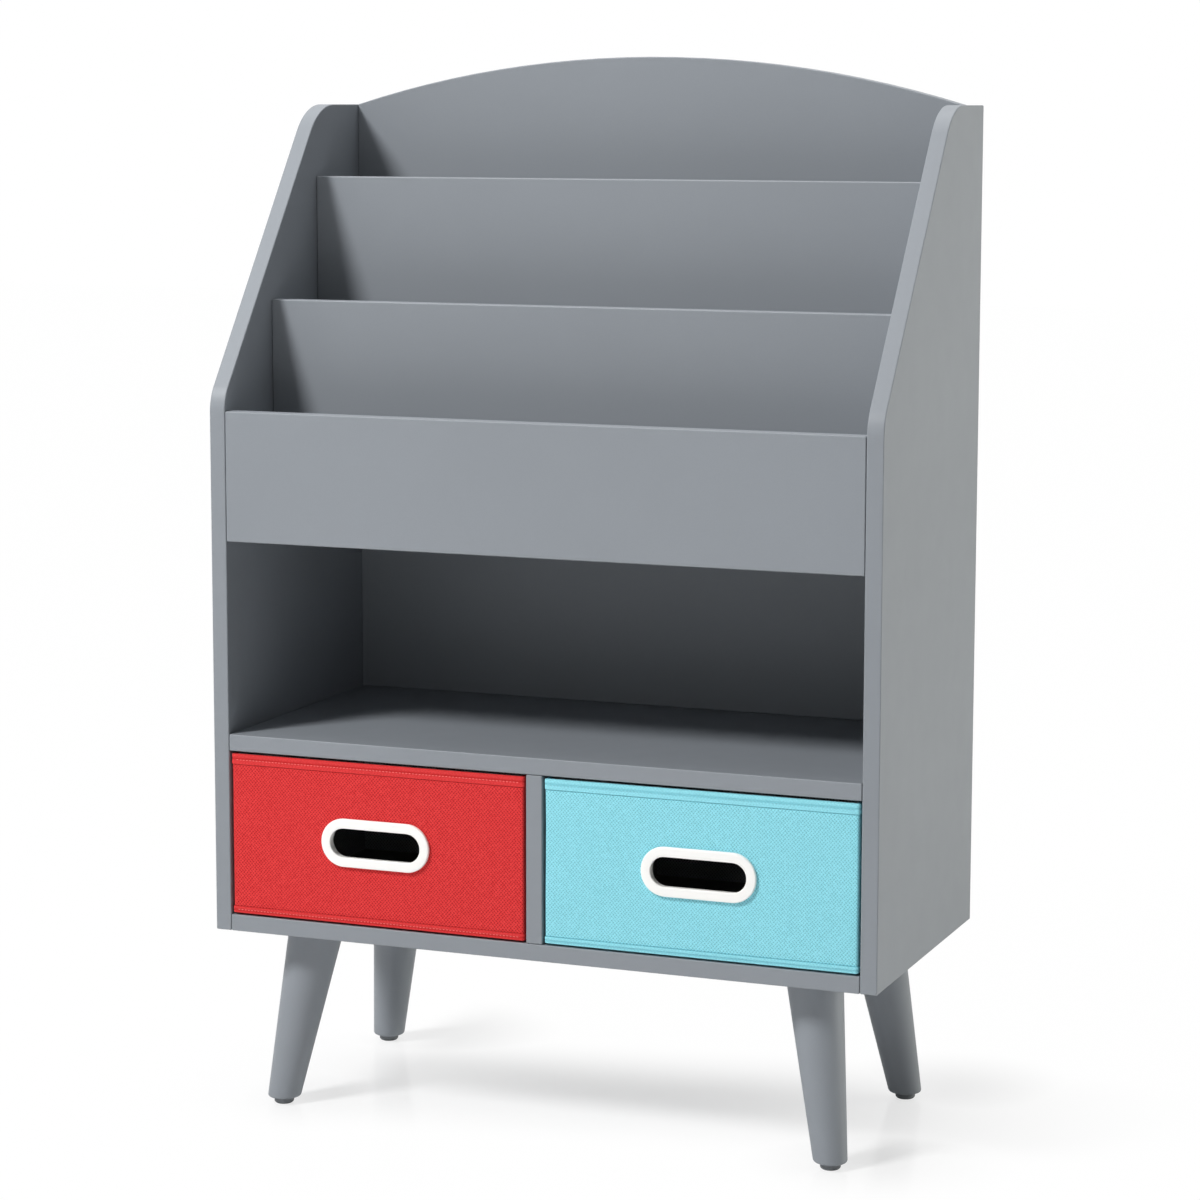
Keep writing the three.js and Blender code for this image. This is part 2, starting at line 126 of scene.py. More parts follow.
class LegSettings(bpy.types.PropertyGroup):
    top_diameter: length("Top diameter", "Diameter of a leg square to it, at its top", 50 * MM)
    foot_diameter: length("Foot diameter", "Diameter of a leg square to it, at its foot", 29.5 * MM)
    foot_round: length("Foot rounding", "Rounding of the leg's lower rim", 2.4 * MM)
    sides: IntProperty(name="Sides", description="Flats round a leg", default=96, min=16, max=256)
    glide_diameter: length("Glide diameter", "Diameter of a glide's disc", 18 * MM)
    glide_height: length("Glide height", "Height of a glide's disc", 6 * MM)
    glide: colour("Glide", "Colour of the plastic glides", from_srgb(118, 122, 126))
    steel: colour("Steel", "Colour of the plated plates, screws and cams", from_srgb(196, 198, 201))


class BinSettings(bpy.types.PropertyGroup):
    left_cloth: colour("Left cloth", "Colour of the left bin's cover", from_srgb(194, 33, 34))
    right_cloth: colour("Right cloth", "Colour of the right bin's cover", from_srgb(131, 205, 218))
    left_crease: colour("Left crease thread", "Colour of the stitches in the left bin's creases",
                        from_srgb(244, 118, 114))
    right_crease: colour("Right crease thread", "Colour of the stitches in the right bin's creases",
                         from_srgb(122, 196, 210))
    left_seam: colour("Left seam thread", "Colour of the stitches in the left bin's seams",
                      from_srgb(190, 42, 44))
    right_seam: colour("Right seam thread", "Colour of the stitches in the right bin's seams",
                       from_srgb(92, 168, 182))
    lining: colour("Lining", "Colour of the linings", from_srgb(196, 197, 198))
    card: colour("Card", "Colour of the stiffening cards", from_srgb(140, 136, 128))
    plastic: colour("Grip", "Colour of the grip rings", from_srgb(252, 251, 248))
    left_mark: screen_levels("Left marks", "How much darker the left cloth's marks are", 80)
    right_mark: screen_levels("Right marks", "How much darker the right cloth's marks are", 55)
    lining_mark: screen_levels("Lining marks", "How much darker the linings' marks are", 55)
    mark_across: length("Marks across", "Distance between the embossed marks along a row", 3.1 * MM)
    mark_up: length("Marks up", "Distance between the rows of embossed marks", 3.45 * MM)
    corner: length("Corner radius", "Radius of a bin's upright corners", 2.0 * MM)
    bottom_round: length("Bottom edge", "Rounding of a cover's bottom edge", 1.0 * MM)
    side_room: length("Side room", "How far a cover's sides stay inside the space it may fill", 0.75 * MM)
    foot_room: length("Foot room", "How far a cover's bottom edge is drawn up", 1.3 * MM)
    cover_thickness: length("Cover thickness", "Thickness of a cover's cloth", 0.8 * MM)
    lining_thickness: length("Lining thickness", "Thickness of a lining's cloth", 0.9 * MM)
    cell: length("Cloth step", "Distance between the points of the cloth", 4.5 * MM)
    top_hem: length("Top hem", "Height of the band round the top of a bin", 9.5 * MM)
    bottom_hem: length("Bottom hem", "Height of the band round the foot of a bin", 6.3 * MM)
    stitch: length("Stitch", "Length of one stitch", 2.1 * MM)
    stitch_pitch: length("Stitch pitch", "Distance from one stitch to the next", 3.2 * MM)
    waviness: length("Waviness", "How far the cloth wanders in and out between its hems", 0.3 * MM)


class StageSettings(bpy.types.PropertyGroup):
    place: FloatVectorProperty(name="Camera", description="Place of the camera", size=3,
                               default=(1.10953, -2.80581, 0.90725), subtype="XYZ_LENGTH", unit="LENGTH")
    turn: FloatVectorProperty(
        name="Camera angles", description="Pitch, roll and yaw of the camera", size=3, subtype="EULER",
        unit="ROTATION", default=(math.radians(-7.840), math.radians(0.066), math.radians(21.775)))
    lens: FloatProperty(name="Lens", description="Focal length on a 36 mm sensor", default=101.83,
                        min=1.0, subtype="DISTANCE_CAMERA", unit="CAMERA")
    shift: FloatVectorProperty(name="Shift", description="Shift of the camera's frame", size=2,
                               default=(0.0131, -0.0263))
    floor: colour("Floor", "Colour of the floor", (0.96, 0.96, 0.96))
    key: power("Key lamp", "Power of the lamp at the front left", 194.0)
    side: power("Side lamp", "Power of the lamp at the right", 36.0)
    side_tint: colour("Side lamp tint", "Colour of the lamp at the right", (1.0, 0.99, 0.9))
    top: power("Top lamp", "Power of the lamp overhead", 36.0)
    fill: FloatProperty(name="Fill", description="Strength of the even light from all round", default=0.17,
                        min=0.0)


# Materials

class Nodes:
    """Fills an emptied node tree."""

    def __init__(self, tree):
        self.tree = tree
        tree.nodes.clear()

    def add(self, kind, inputs=None, **settings):
        """A node, with the settings and the values or links of its inputs."""
        node = self.tree.nodes.new(kind)
        for key, value in settings.items():
            setattr(node, key, value)
        for key, value in (inputs or {}).items():
            if isinstance(value, bpy.types.NodeSocket):
                self.tree.links.new(value, node.inputs[key])
            else:
                node.inputs[key].default_value = value
        return node

    def math(self, operation, *values):
        return self.add("ShaderNodeMath", dict(enumerate(values)), operation=operation).outputs[0]

    def spread(self, value, low, high, start=0.3, end=0.7, smooth=False):
        """A value from one range laid over another."""
        inputs = {"Value": value, "From Min": start, "From Max": end, "To Min": low, "To Max": high}
        kind = "SMOOTHSTEP" if smooth else "LINEAR"
        return self.add("ShaderNodeMapRange", inputs, interpolation_type=kind).outputs[0]


class Finish(Nodes):
    """A material that is being put together, node by node."""

    def __init__(self, name):
        self.material = bpy.data.materials.new(name)
        self.material.use_nodes = True
        super().__init__(self.material.node_tree)

    def spot(self):
        """The piece's own coordinates."""
        return self.add("ShaderNodeTexCoord").outputs["Object"]

    def stretched(self, scale):
        """The piece's own coordinates, multiplied along its axes."""
        return self.add("ShaderNodeMapping", {"Vector": self.spot(), "Scale": scale}).outputs[0]

    def field(self, centre, half, turn=0.0):
        """The piece's own coordinates, measured from a centre in half widths, and turned."""
        inputs = {"Vector": self.spot(), "Location": centre, "Rotation": (0, 0, turn), "Scale": half}
        return self.add("ShaderNodeMapping", inputs, vector_type="TEXTURE").outputs[0]

    def grain(self, scale, detail=2.0, vector=None, roughness=0.5):
        """Soft noise, with about as many patches to a metre as scale says and finer ones laid over them."""
        inputs = {"Vector": vector or self.spot(), "Scale": scale, "Detail": detail, "Roughness": roughness}
        return self.add("ShaderNodeTexNoise", inputs).outputs["Fac"]

    def blend(self, share, first, second):
        """A mix of two colours."""
        first, second = (tone if isinstance(tone, bpy.types.NodeSocket) else (*tone, 1.0)
                         for tone in (first, second))
        return self.add("ShaderNodeMix", {0: share, 6: first, 7: second}, data_type="RGBA").outputs[2]

    def mottled(self, grain, tone, low, high):
        """A colour that wanders with a grain between two shares of its brightness."""
        return self.blend(self.spread(grain, 0.0, 1.0), shade(tone, low), shade(tone, high))

    def bump(self, height, distance, strength):
        inputs = {"Height": height, "Distance": distance, "Strength": strength}
        return self.add("ShaderNodeBump", inputs).outputs[0]

    def surface(self, base, roughness, normal, **sockets):
        """Close the material with one principled shader. Values for whole sockets are set on them."""
        inputs = {"Base Color": base, "Roughness": roughness, "Normal": normal}
        inputs.update({key.replace("_", " "): value for key, value in sockets.items()})
        return self.close(self.add("ShaderNodeBsdfPrincipled", inputs))

    def close(self, shader):
        """Link a shader to the output, which ends the material."""
        self.add("ShaderNodeOutputMaterial", {"Surface": shader.outputs[0]})
        return self.material


def made_once(name, build):
    """The material of that name, built the first time that it is asked for."""
    return bpy.data.materials.get(name) or build(Finish(name))


def grey_paint(settings):
    def build(f):
        clouded = f.mottled(f.grain(4.0, 3.0), settings.paint, 0.97, 1.03)
        specks = f.math("MULTIPLY", f.spread(f.grain(1400.0, 1.0), 0.0, 1.0), 0.35)
        base = f.blend(specks, clouded, shade(settings.paint, 0.93))
        roughness = f.spread(f.grain(35.0, 3.0), 0.43, 0.47)
        stipple = f.bump(f.grain(750.0), settings.stipple, 0.6)
        return f.surface(base, roughness, stipple, Specular_IOR_Level=0.3)
    return made_once("Grey satin paint", build)


def plated_steel(settings):
    def build(f):
        brushed = f.grain(260.0, 4.0, f.stretched((1.0, 1.0, 9.0)))
        base = f.mottled(brushed, settings.steel, 0.86, 1.0)
        roughness = f.spread(f.grain(90.0, 3.0), 0.24, 0.38)
        return f.surface(base, roughness, f.bump(brushed, 0.02 * MM, 0.5), Metallic=1.0)
    return made_once("Zinc plated steel", build)


def dark_plastic(settings):
    def build(f):
        fine = f.grain(1800.0)
        base = f.mottled(f.grain(120.0), settings.glide, 0.93, 1.0)
        return f.surface(base, f.spread(fine, 0.48, 0.62), f.bump(fine, 0.03 * MM, 0.5))
    return made_once("Moulded grey plastic", build)


def white_plastic(settings):
    def build(f):
        base = f.mottled(f.grain(30.0), settings.plastic, 0.99, 1.0)
        roughness = f.spread(f.grain(140.0), 0.28, 0.34)
        return f.surface(base, roughness, f.bump(f.grain(900.0), 0.01 * MM, 0.2), IOR=1.49)
    return made_once("Moulded white plastic", build)


def grey_card(settings):
    def build(f):
        fibre = f.grain(420.0, 5.0, f.stretched((1.0, 3.0, 1.0)))
        flecks = f.math("MULTIPLY", f.spread(f.grain(1500.0), 0.0, 1.0, 0.56, 0.66), 0.5)
        base = f.blend(flecks, f.mottled(fibre, settings.card, 0.88, 1.08), shade(settings.card, 0.6))
        return f.surface(base, f.spread(fibre, 0.8, 0.92), f.bump(fibre, 0.06 * MM, 0.7))
    return made_once("Grey board", build)


def thread(name, tone):
    """Sewing thread, roughened by its twist."""
    def build(f):
        twist = f.grain(3200.0)
        base = f.mottled(twist, tone, 0.8, 1.12)
        return f.surface(base, 0.7, f.bump(twist, 0.05 * MM, 0.6), Sheen_Weight=0.2)
    return made_once(name, build)


Line = namedtuple("Line", "reach strength")

# Painted shade along the seams and creases, where the layers press together: how far it reaches to each
# side and how strong it is at its middle
SEAM_SHADE = Line(0.7 * MM, 0.55)
CREASE_SHADE = Line(1.9 * MM, 0.45)
SHADE_LEVELS = 30  # screen levels of painted shade by which a seam or crease line of full strength is darker than the cloth
FLAT_SHARE = 0.25  # of the marks' depth, where the cloth is pressed flat beyond a seam
FLAT_RUN = 0.4 * MM
PALE_SHARE = 0.3  # of the marks' depth, by which the cloth between them is lighter than its mean colour
BODY_LEVELS = 10  # screen levels by which the cloth between the marks is uneven
MARK_HALF_LENGTH = 0.47  # of the distance between marks
MARK_HALF_WIDTH = 0.19
MARK_FADE = (0.55, 1.15)  # of a mark's half sizes, between which it fades into the cloth


def cloth(name, tone, mark_levels, settings, seams=(), creases=()):
    """Non-woven cloth, embossed with short marks that cross at 45 degrees. Its UV map is in metres, with
    the height from the foot as v. Where a seam at the foot and one at the rim are given, the marks are
    weaker beyond them, and painted shade darkens the cloth along them and along its creases."""
    def build(f):
        spot = f.add("ShaderNodeSeparateXYZ", {0: f.add("ShaderNodeUVMap", uv_map="Cloth").outputs[0]})
        up = spot.outputs[1]
        across = f.math("DIVIDE", spot.outputs[0], settings.mark_across)
        rows = f.math("DIVIDE", up, settings.mark_up)
        uneven = f.grain(800.0)
        mark = f.math("MULTIPLY", crossed_marks(f, across, rows), f.spread(uneven, 1.5, 0.5))
        if seams:
            foot, top = seams
            above_foot = f.spread(up, FLAT_SHARE, 1.0, foot, foot + FLAT_RUN)
            below_rim = f.spread(up, 1.0, FLAT_SHARE, top - FLAT_RUN, top)
            mark = f.math("MULTIPLY", mark, f.math("MINIMUM", above_foot, below_rim))
        pale = PALE_SHARE * mark_levels
        fibre = f.grain(2600.0, 3.0, roughness=0.7)
        body = f.blend(f.spread(uneven, 0.0, 1.0), lifted(tone, pale - BODY_LEVELS),
                       lifted(tone, pale + BODY_LEVELS))
        marked = f.blend(mark, body, lifted(tone, pale - mark_levels))
        base = f.blend(f.spread(fibre, 0.0, 0.22), marked, lifted(tone, 2 * pale))
        if seams:
            # painted shade along the seams and creases
            base = f.blend(painted_crease_shade(f, up, seams, creases), base, lifted(tone, -SHADE_LEVELS))
        relief = f.math("SUBTRACT", f.math("MULTIPLY", fibre, 0.35), mark)
        return f.surface(base, 0.85, f.bump(relief, 0.03 * MM, 0.8), Specular_IOR_Level=0.12)
    return made_once(name, build)


def crossed_marks(f, across, rows):
    """Short strokes that rise and fall by turns, 1 on a stroke and 0 beside it."""
    rising = f.math("ADD", across, rows)
    falling = f.math("SUBTRACT", across, rows)
    turn = f.math("FLOORED_MODULO", f.math("ADD", f.math("FLOOR", rising), f.math("FLOOR", falling)), 2.0)
    in_rising = f.math("SUBTRACT", f.math("FRACT", rising), 0.5)
    in_falling = f.math("SUBTRACT", f.math("FRACT", falling), 0.5)
    along = f.math("MULTIPLY_ADD", f.math("SUBTRACT", in_falling, in_rising), turn, in_rising)
    beside = f.math("SUBTRACT", f.math("ADD", in_rising, in_falling), along)
    squares = [f.math("POWER", f.math("ABSOLUTE", f.math("DIVIDE", value, half)), 2.0)
               for value, half in ((along, MARK_HALF_LENGTH), (beside, MARK_HALF_WIDTH))]
    return f.spread(f.math("SQRT", f.math("ADD", *squares)), 1.0, 0.0, *MARK_FADE, smooth=True)


def painted_crease_shade(f, up, seams, creases):
    """How much painted shade darkens the cloth at a height: most on a seam or a crease, where shade falls,
    and 0 away from them.
    """
    shadow = 0.0
    for heights, line in ((seams, SEAM_SHADE), (creases, CREASE_SHADE)):
        for height in heights:
            away = f.math("ABSOLUTE", f.math("SUBTRACT", up, height))
            dark = f.spread(away, line.strength, 0.0, 0.0, line.reach, smooth=True)
            shadow = f.math("MAXIMUM", shadow, dark)
    return shadow


# Middle, half widths and turn of the part round the rack's foot where the floor shows its shadow
SHADED_MIDDLE = (0.02, 0.03, 0)
SHADED_HALF = (0.6, 0.19, 1)
SHADED_TURN = math.radians(10)
SHADED_END = 0.9  # of the half widths, where the floor has turned white
SHADED_WHITE = 0.47  # share of white at the middle of that part
FOOT_SHADE_OFFSET = Vector((0.03, 0.045, 0))  # from a foot to the middle of the shadow beside it
FOOT_SHADE_HALF = (0.14, 0.14, 1)
FOOT_SHADE_WHITE = 0.6
FAR_WHITE = 0.99  # away from the rack


def pale_floor(settings):
    """Shows the rack's shadow near its foot and, to the camera alone, turns as white as the background
    further out."""
    def build(f):
        ways = f.add("ShaderNodeSeparateXYZ", {0: f.field(SHADED_MIDDLE, SHADED_HALF, SHADED_TURN)})
        fourths = [f.math("POWER", f.math("ABSOLUTE", ways.outputs[way]), 4.0) for way in (0, 1)]
        reach = f.math("POWER", f.math("ADD", *fourths), 0.25)
        whiteness = f.spread(reach, SHADED_WHITE, FAR_WHITE, 0.0, SHADED_END, smooth=True)
        for corner in CORNERS:
            centre = middle(f"{corner}_glide") + FOOT_SHADE_OFFSET
            centre.z = 0
            away = f.add("ShaderNodeVectorMath", {0: f.field(centre, FOOT_SHADE_HALF)}, operation="LENGTH")
            near = f.spread(away.outputs["Value"], FOOT_SHADE_WHITE, 1.0, 0.0, 1.0, smooth=True)
            whiteness = f.math("MINIMUM", whiteness, near)
        base = f.blend(f.grain(3.0), shade(settings.floor, 0.99), settings.floor)
        lit = f.add("ShaderNodeBsdfPrincipled", {"Base Color": base, "Roughness": 0.16})
        white = f.add("ShaderNodeEmission", {"Color": (1, 1, 1, 1), "Strength": 1.0})
        seen = f.add("ShaderNodeLightPath").outputs["Is Camera Ray"]
        share = f.math("MULTIPLY", whiteness, seen)
        return f.close(f.add("ShaderNodeMixShader", {0: share, 1: lit.outputs[0], 2: white.outputs[0]}))
    return made_once("Pale floor", build)


# Meshes

def only(kind, geom):
    """The vertices or the edges in what an operator gives back."""
    return [item for item in geom if isinstance(item, kind)]


def finish_piece(bm, name, body, material, sharp=35, flat_faces=False):
    """Make an object of a bmesh, at the origin, riding on a body. Its edges stay hard from as many degrees
    as sharp says."""
    mesh = bpy.data.meshes.new(name)
    bm.to_mesh(mesh)
    bm.free()
    mesh.shade_smooth()
    mesh.set_sharp_from_angle(angle=math.radians(sharp))
    mesh.materials.append(material)
    piece = bpy.data.objects.new(name, mesh)
    bpy.context.scene.collection.objects.link(piece)
    if flat_faces:
        normals = piece.modifiers.new("Flat faces", "WEIGHTED_NORMAL")
        normals.keep_sharp = True
    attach(piece, body)
    return piece


def recoat(node, material):
    """Give a CAD node that stays in sight its material."""
    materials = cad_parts[node].data.materials
    materials.clear()
    materials.append(material)


def node_mesh(node):
    """The merged mesh of a CAD node, with its flat faces whole again."""
    bm = bmesh.new()
    bm.from_mesh(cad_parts[node].data)
    bmesh.ops.remove_doubles(bm, verts=bm.verts, dist=CLOSE)
    bmesh.ops.dissolve_limit(bm, angle_limit=math.radians(0.2), use_dissolve_boundaries=False,
                             verts=bm.verts, edges=bm.edges)
    return bm


def long_edges(bm, shortest=30 * MM, hard=math.radians(40)):
    """Sharp edges that run on round the outside, without the rims of holes, which span less."""
    sharp = {e for e in bm.edges if e.is_manifold and e.calc_face_angle() > hard}
    chosen = []
    while sharp:
        chain = [sharp.pop()]
        for edge in chain:
            for vert in edge.verts:
                near = [e for e in vert.link_edges if e in sharp]
                sharp.difference_update(near)
                chain.extend(near)
        start = chain[0].verts[0].co
        if max((vert.co - start).length for edge in chain for vert in edge.verts) > shortest:
            chosen.extend(chain)
    return chosen


def ease(bm, edges, radius, segments=3):
    """Round some edges off."""
    bmesh.ops.bevel(bm, geom=edges, offset=radius, offset_type="OFFSET", segments=segments,
                    profile=0.5, affect="EDGES", material=-1, clamp_overlap=True)


def eased_copy(node, body, material, radius, segments=3, short=(0, 0, 0)):
    """A piece in a CAD node's place, the same but for its eased outer edges and ends that are cut short
    by as much as is given along each axis."""
    bm = node_mesh(node)
    for low, high, axis, cut in zip(*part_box(node), range(3), short):
        for vert in bm.verts:
            if min(vert.co[axis] - low, high - vert.co[axis]) < CLOSE:
                vert.co[axis] += cut if vert.co[axis] - low < high - vert.co[axis] else -cut
    ease(bm, long_edges(bm), radius, segments)
    piece = finish_piece(bm, f"{node}_eased", body, material, flat_faces=True)
    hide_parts(node)


def level_edges(bm, height):
    """Edges that lie level at a height."""
    return [e for e in bm.edges if all(abs(vert.co.z - height) < CLOSE for vert in e.verts)]


def turned(profile, steps):
    """A solid of revolution about Z, from (radius, height) points that start and end on the axis."""
    bm = bmesh.new()
    verts = [bm.verts.new((radius, 0, height)) for radius, height in profile]
    edges = [bm.edges.new(pair) for pair in zip(verts, verts[1:])]
    bmesh.ops.spin(bm, geom=verts + edges, cent=(0, 0, 0), axis=(0, 0, 1), angle=math.tau,
                   steps=steps, use_merge=True)
    bmesh.ops.remove_doubles(bm, verts=bm.verts, dist=CLOSE)
    bmesh.ops.recalc_face_normals(bm, faces=bm.faces)
    return bm


def cross_head(radius, crown, cross, deep):
    """A round face with a cross recess, looking up, its rim at height 0. Gives the mesh and the rim."""
    cells = 10
    recess_taper = 0.8
    bm = bmesh.new()
    bmesh.ops.create_grid(bm, x_segments=cells, y_segments=cells, size=cross / 2)
    half_arm = cross / cells
    arms = []
    for face in bm.faces:
        spot = face.calc_center_median()
        if min(abs(spot.x), abs(spot.y)) < half_arm:
            arms.append(face)
    low = only(BMVert, bmesh.ops.extrude_face_region(bm, geom=arms)["geom"])
    bmesh.ops.scale(bm, verts=low, vec=(recess_taper, recess_taper, 1))
    bmesh.ops.translate(bm, verts=low, vec=(0, 0, -deep))
    border = [e for e in bm.edges if e.is_boundary]
    made = bmesh.ops.extrude_edge_only(bm, edges=border)["geom"]
    for vert in only(BMVert, made):
        vert.co *= radius / vert.co.length
    for vert in bm.verts:
        vert.co.z += crown * (1 - (vert.co.xy.length / radius) ** 2)
    return bm, only(BMEdge, made)


def body_below(bm, ring, steps):
    """Carry a ring of edges on through (scale, rise) steps about Z, and close its end."""
    for scale, rise in steps:
        made = bmesh.ops.extrude_edge_only(bm, edges=ring)["geom"]
        verts = only(BMVert, made)
        bmesh.ops.scale(bm, verts=verts, vec=(scale, scale, 1))
        bmesh.ops.translate(bm, verts=verts, vec=(0, 0, rise))
        ring = only(BMEdge, made)
    bmesh.ops.edgeloop_fill(bm, edges=ring)
    bmesh.ops.recalc_face_normals(bm, faces=bm.faces)


# Case

class RACK_OT_case_boards(bpy.types.Operator):
    """Paint the case's boards and ease their edges"""
    bl_idname = "book_rack.case_boards"
    bl_label = "Case Boards"

    def execute(self, context):
        settings = context.scene.book_rack_case
        paint = grey_paint(settings)
        for node in BOARDS:
            short = (settings.joint, 0, 0)
            if node == "bin_partition":
                short = (0, 0, settings.joint)
            elif node.endswith("back_panel"):
                short = (0, 0, 0)
            eased_copy(node, "case", paint, settings.board_ease, short=short)
        for node in SIDE_PANELS:
            eased_copy(node, "case", paint, settings.panel_ease, 4)
        return {"FINISHED"}


class RACK_OT_cam_fittings(bpy.types.Operator):
    """Make the cams, with their cross recesses, and the bolts that they draw in"""
    bl_idname = "book_rack.cam_fittings"
    bl_label = "Cam Fittings"

    cam_radius = 7.5 * MM
    cam_chamfer = 0.4 * MM
    cross = 8 * MM
    cross_depth = 2.2 * MM
    # The bolt. Places along it are measured from the cam's middle
    bolt_start = cam_radius / 2
    head_radius = 3.3 * MM
    head_end = 5.6 * MM
    neck_radius = 2.1 * MM
    neck_end = 10 * MM
    shank_radius = 3.0 * MM
    shoulder = 0.6 * MM  # length of each step between two radii
    tip_radius = 2.2 * MM
    tip = 1 * MM

    def execute(self, context):
        steel = plated_steel(context.scene.book_rack_legs)
        for tag in CAMS:
            for side, outward in (("left", -1), ("right", 1)):
                self.fitting(tag, side, outward, steel)
        return {"FINISHED"}

    def fitting(self, tag, side, outward, steel):
        """A cam that shows on the board's lower or rear face, and its bolt, which points outward."""
        node = f"{tag}_{side}_cam_fitting"
        low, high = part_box(node)
        inner_end, far_end = (high.x, low.x) if outward < 0 else (low.x, high.x)
        centre = middle(node)
        centre.x = inner_end + outward * self.cam_radius
        face = centre.copy()
        if tag.startswith(("shelf", "bottom")):
            thick = high.z - low.z
            face.z = low.z
            turn = Matrix.Rotation(math.pi, 4, "X")
        else:
            thick = high.y - low.y
            face.y = high.y
            turn = Matrix.Rotation(-math.pi / 2, 4, "X")
        top_radius = self.cam_radius - self.cam_chamfer
        bm, ring = cross_head(top_radius, 0, self.cross, self.cross_depth)
        body_below(bm, ring, ((self.cam_radius / top_radius, -self.cam_chamfer),
                              (1, self.cam_chamfer - thick)))
        bmesh.ops.transform(bm, matrix=Matrix.Translation(face) @ turn, verts=bm.verts)
        cam = finish_piece(bm, f"{tag}_{side}_cam", "case", steel)
        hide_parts(node)

        end = abs(far_end - centre.x)
        profile = [
            (0, self.bolt_start),
            (self.head_radius, self.bolt_start), (self.head_radius, self.head_end),
            (self.neck_radius, self.head_end + self.shoulder), (self.neck_radius, self.neck_end),
            (self.shank_radius, self.neck_end + self.shoulder), (self.shank_radius, end - self.tip),
            (self.tip_radius, end), (0, end),
        ]
        bolt = turned(profile, 24)
        place = Matrix.Translation(centre) @ Matrix.Rotation(outward * math.pi / 2, 4, "Y")
        bmesh.ops.transform(bolt, matrix=place, verts=bolt.verts)
        finish_piece(bolt, f"{tag}_{side}_cam_bolt", "case", steel)


# Legs

class RACK_OT_legs(bpy.types.Operator):
    """Turn the four legs and ease their rims"""
    bl_idname = "book_rack.legs"
    bl_label = "Legs"

    top_round = 0.6 * MM

    def execute(self, context):
        settings = context.scene.book_rack_legs
        paint = grey_paint(context.scene.book_rack_case)
        for corner in CORNERS:
            self.leg(corner, settings, paint)
        return {"FINISHED"}

    def leg(self, corner, settings, paint):
        """A cone that runs from its plate to its glide and on past both, cut level at both ends."""
        low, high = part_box(f"{corner}_leg")
        top = middle(f"{corner}_leg_plate")
        top.z = high.z
        foot = middle(f"{corner}_glide")
        foot.z = low.z
        axis = top - foot
        top_radius = settings.top_diameter / 2
        foot_radius = settings.foot_diameter / 2
        spare = top_radius
        widening = spare * (top_radius - foot_radius) / axis.length
        bm = bmesh.new()
        place = Matrix.Translation((top + foot) / 2) @ axis.to_track_quat("Z", "Y").to_matrix().to_4x4()
        bmesh.ops.create_cone(bm, cap_ends=True, segments=settings.sides, radius1=foot_radius - widening,
                              radius2=top_radius + widening, depth=axis.length + 2 * spare, matrix=place)
        for spot, outward in ((foot, -1), (top, 1)):
            geom = bm.verts[:] + bm.edges[:] + bm.faces[:]
            bmesh.ops.bisect_plane(bm, geom=geom, plane_co=spot, plane_no=(0, 0, outward),
                                   clear_outer=True)
            bmesh.ops.edgeloop_fill(bm, edges=[e for e in bm.edges if e.is_boundary])
        bmesh.ops.recalc_face_normals(bm, faces=bm.faces)
        ease(bm, level_edges(bm, foot.z), settings.foot_round, 5)
        ease(bm, level_edges(bm, top.z), self.top_round)
        leg = finish_piece(bm, f"{corner}_turned_leg", "case", paint, flat_faces=True)
        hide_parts(f"{corner}_leg")


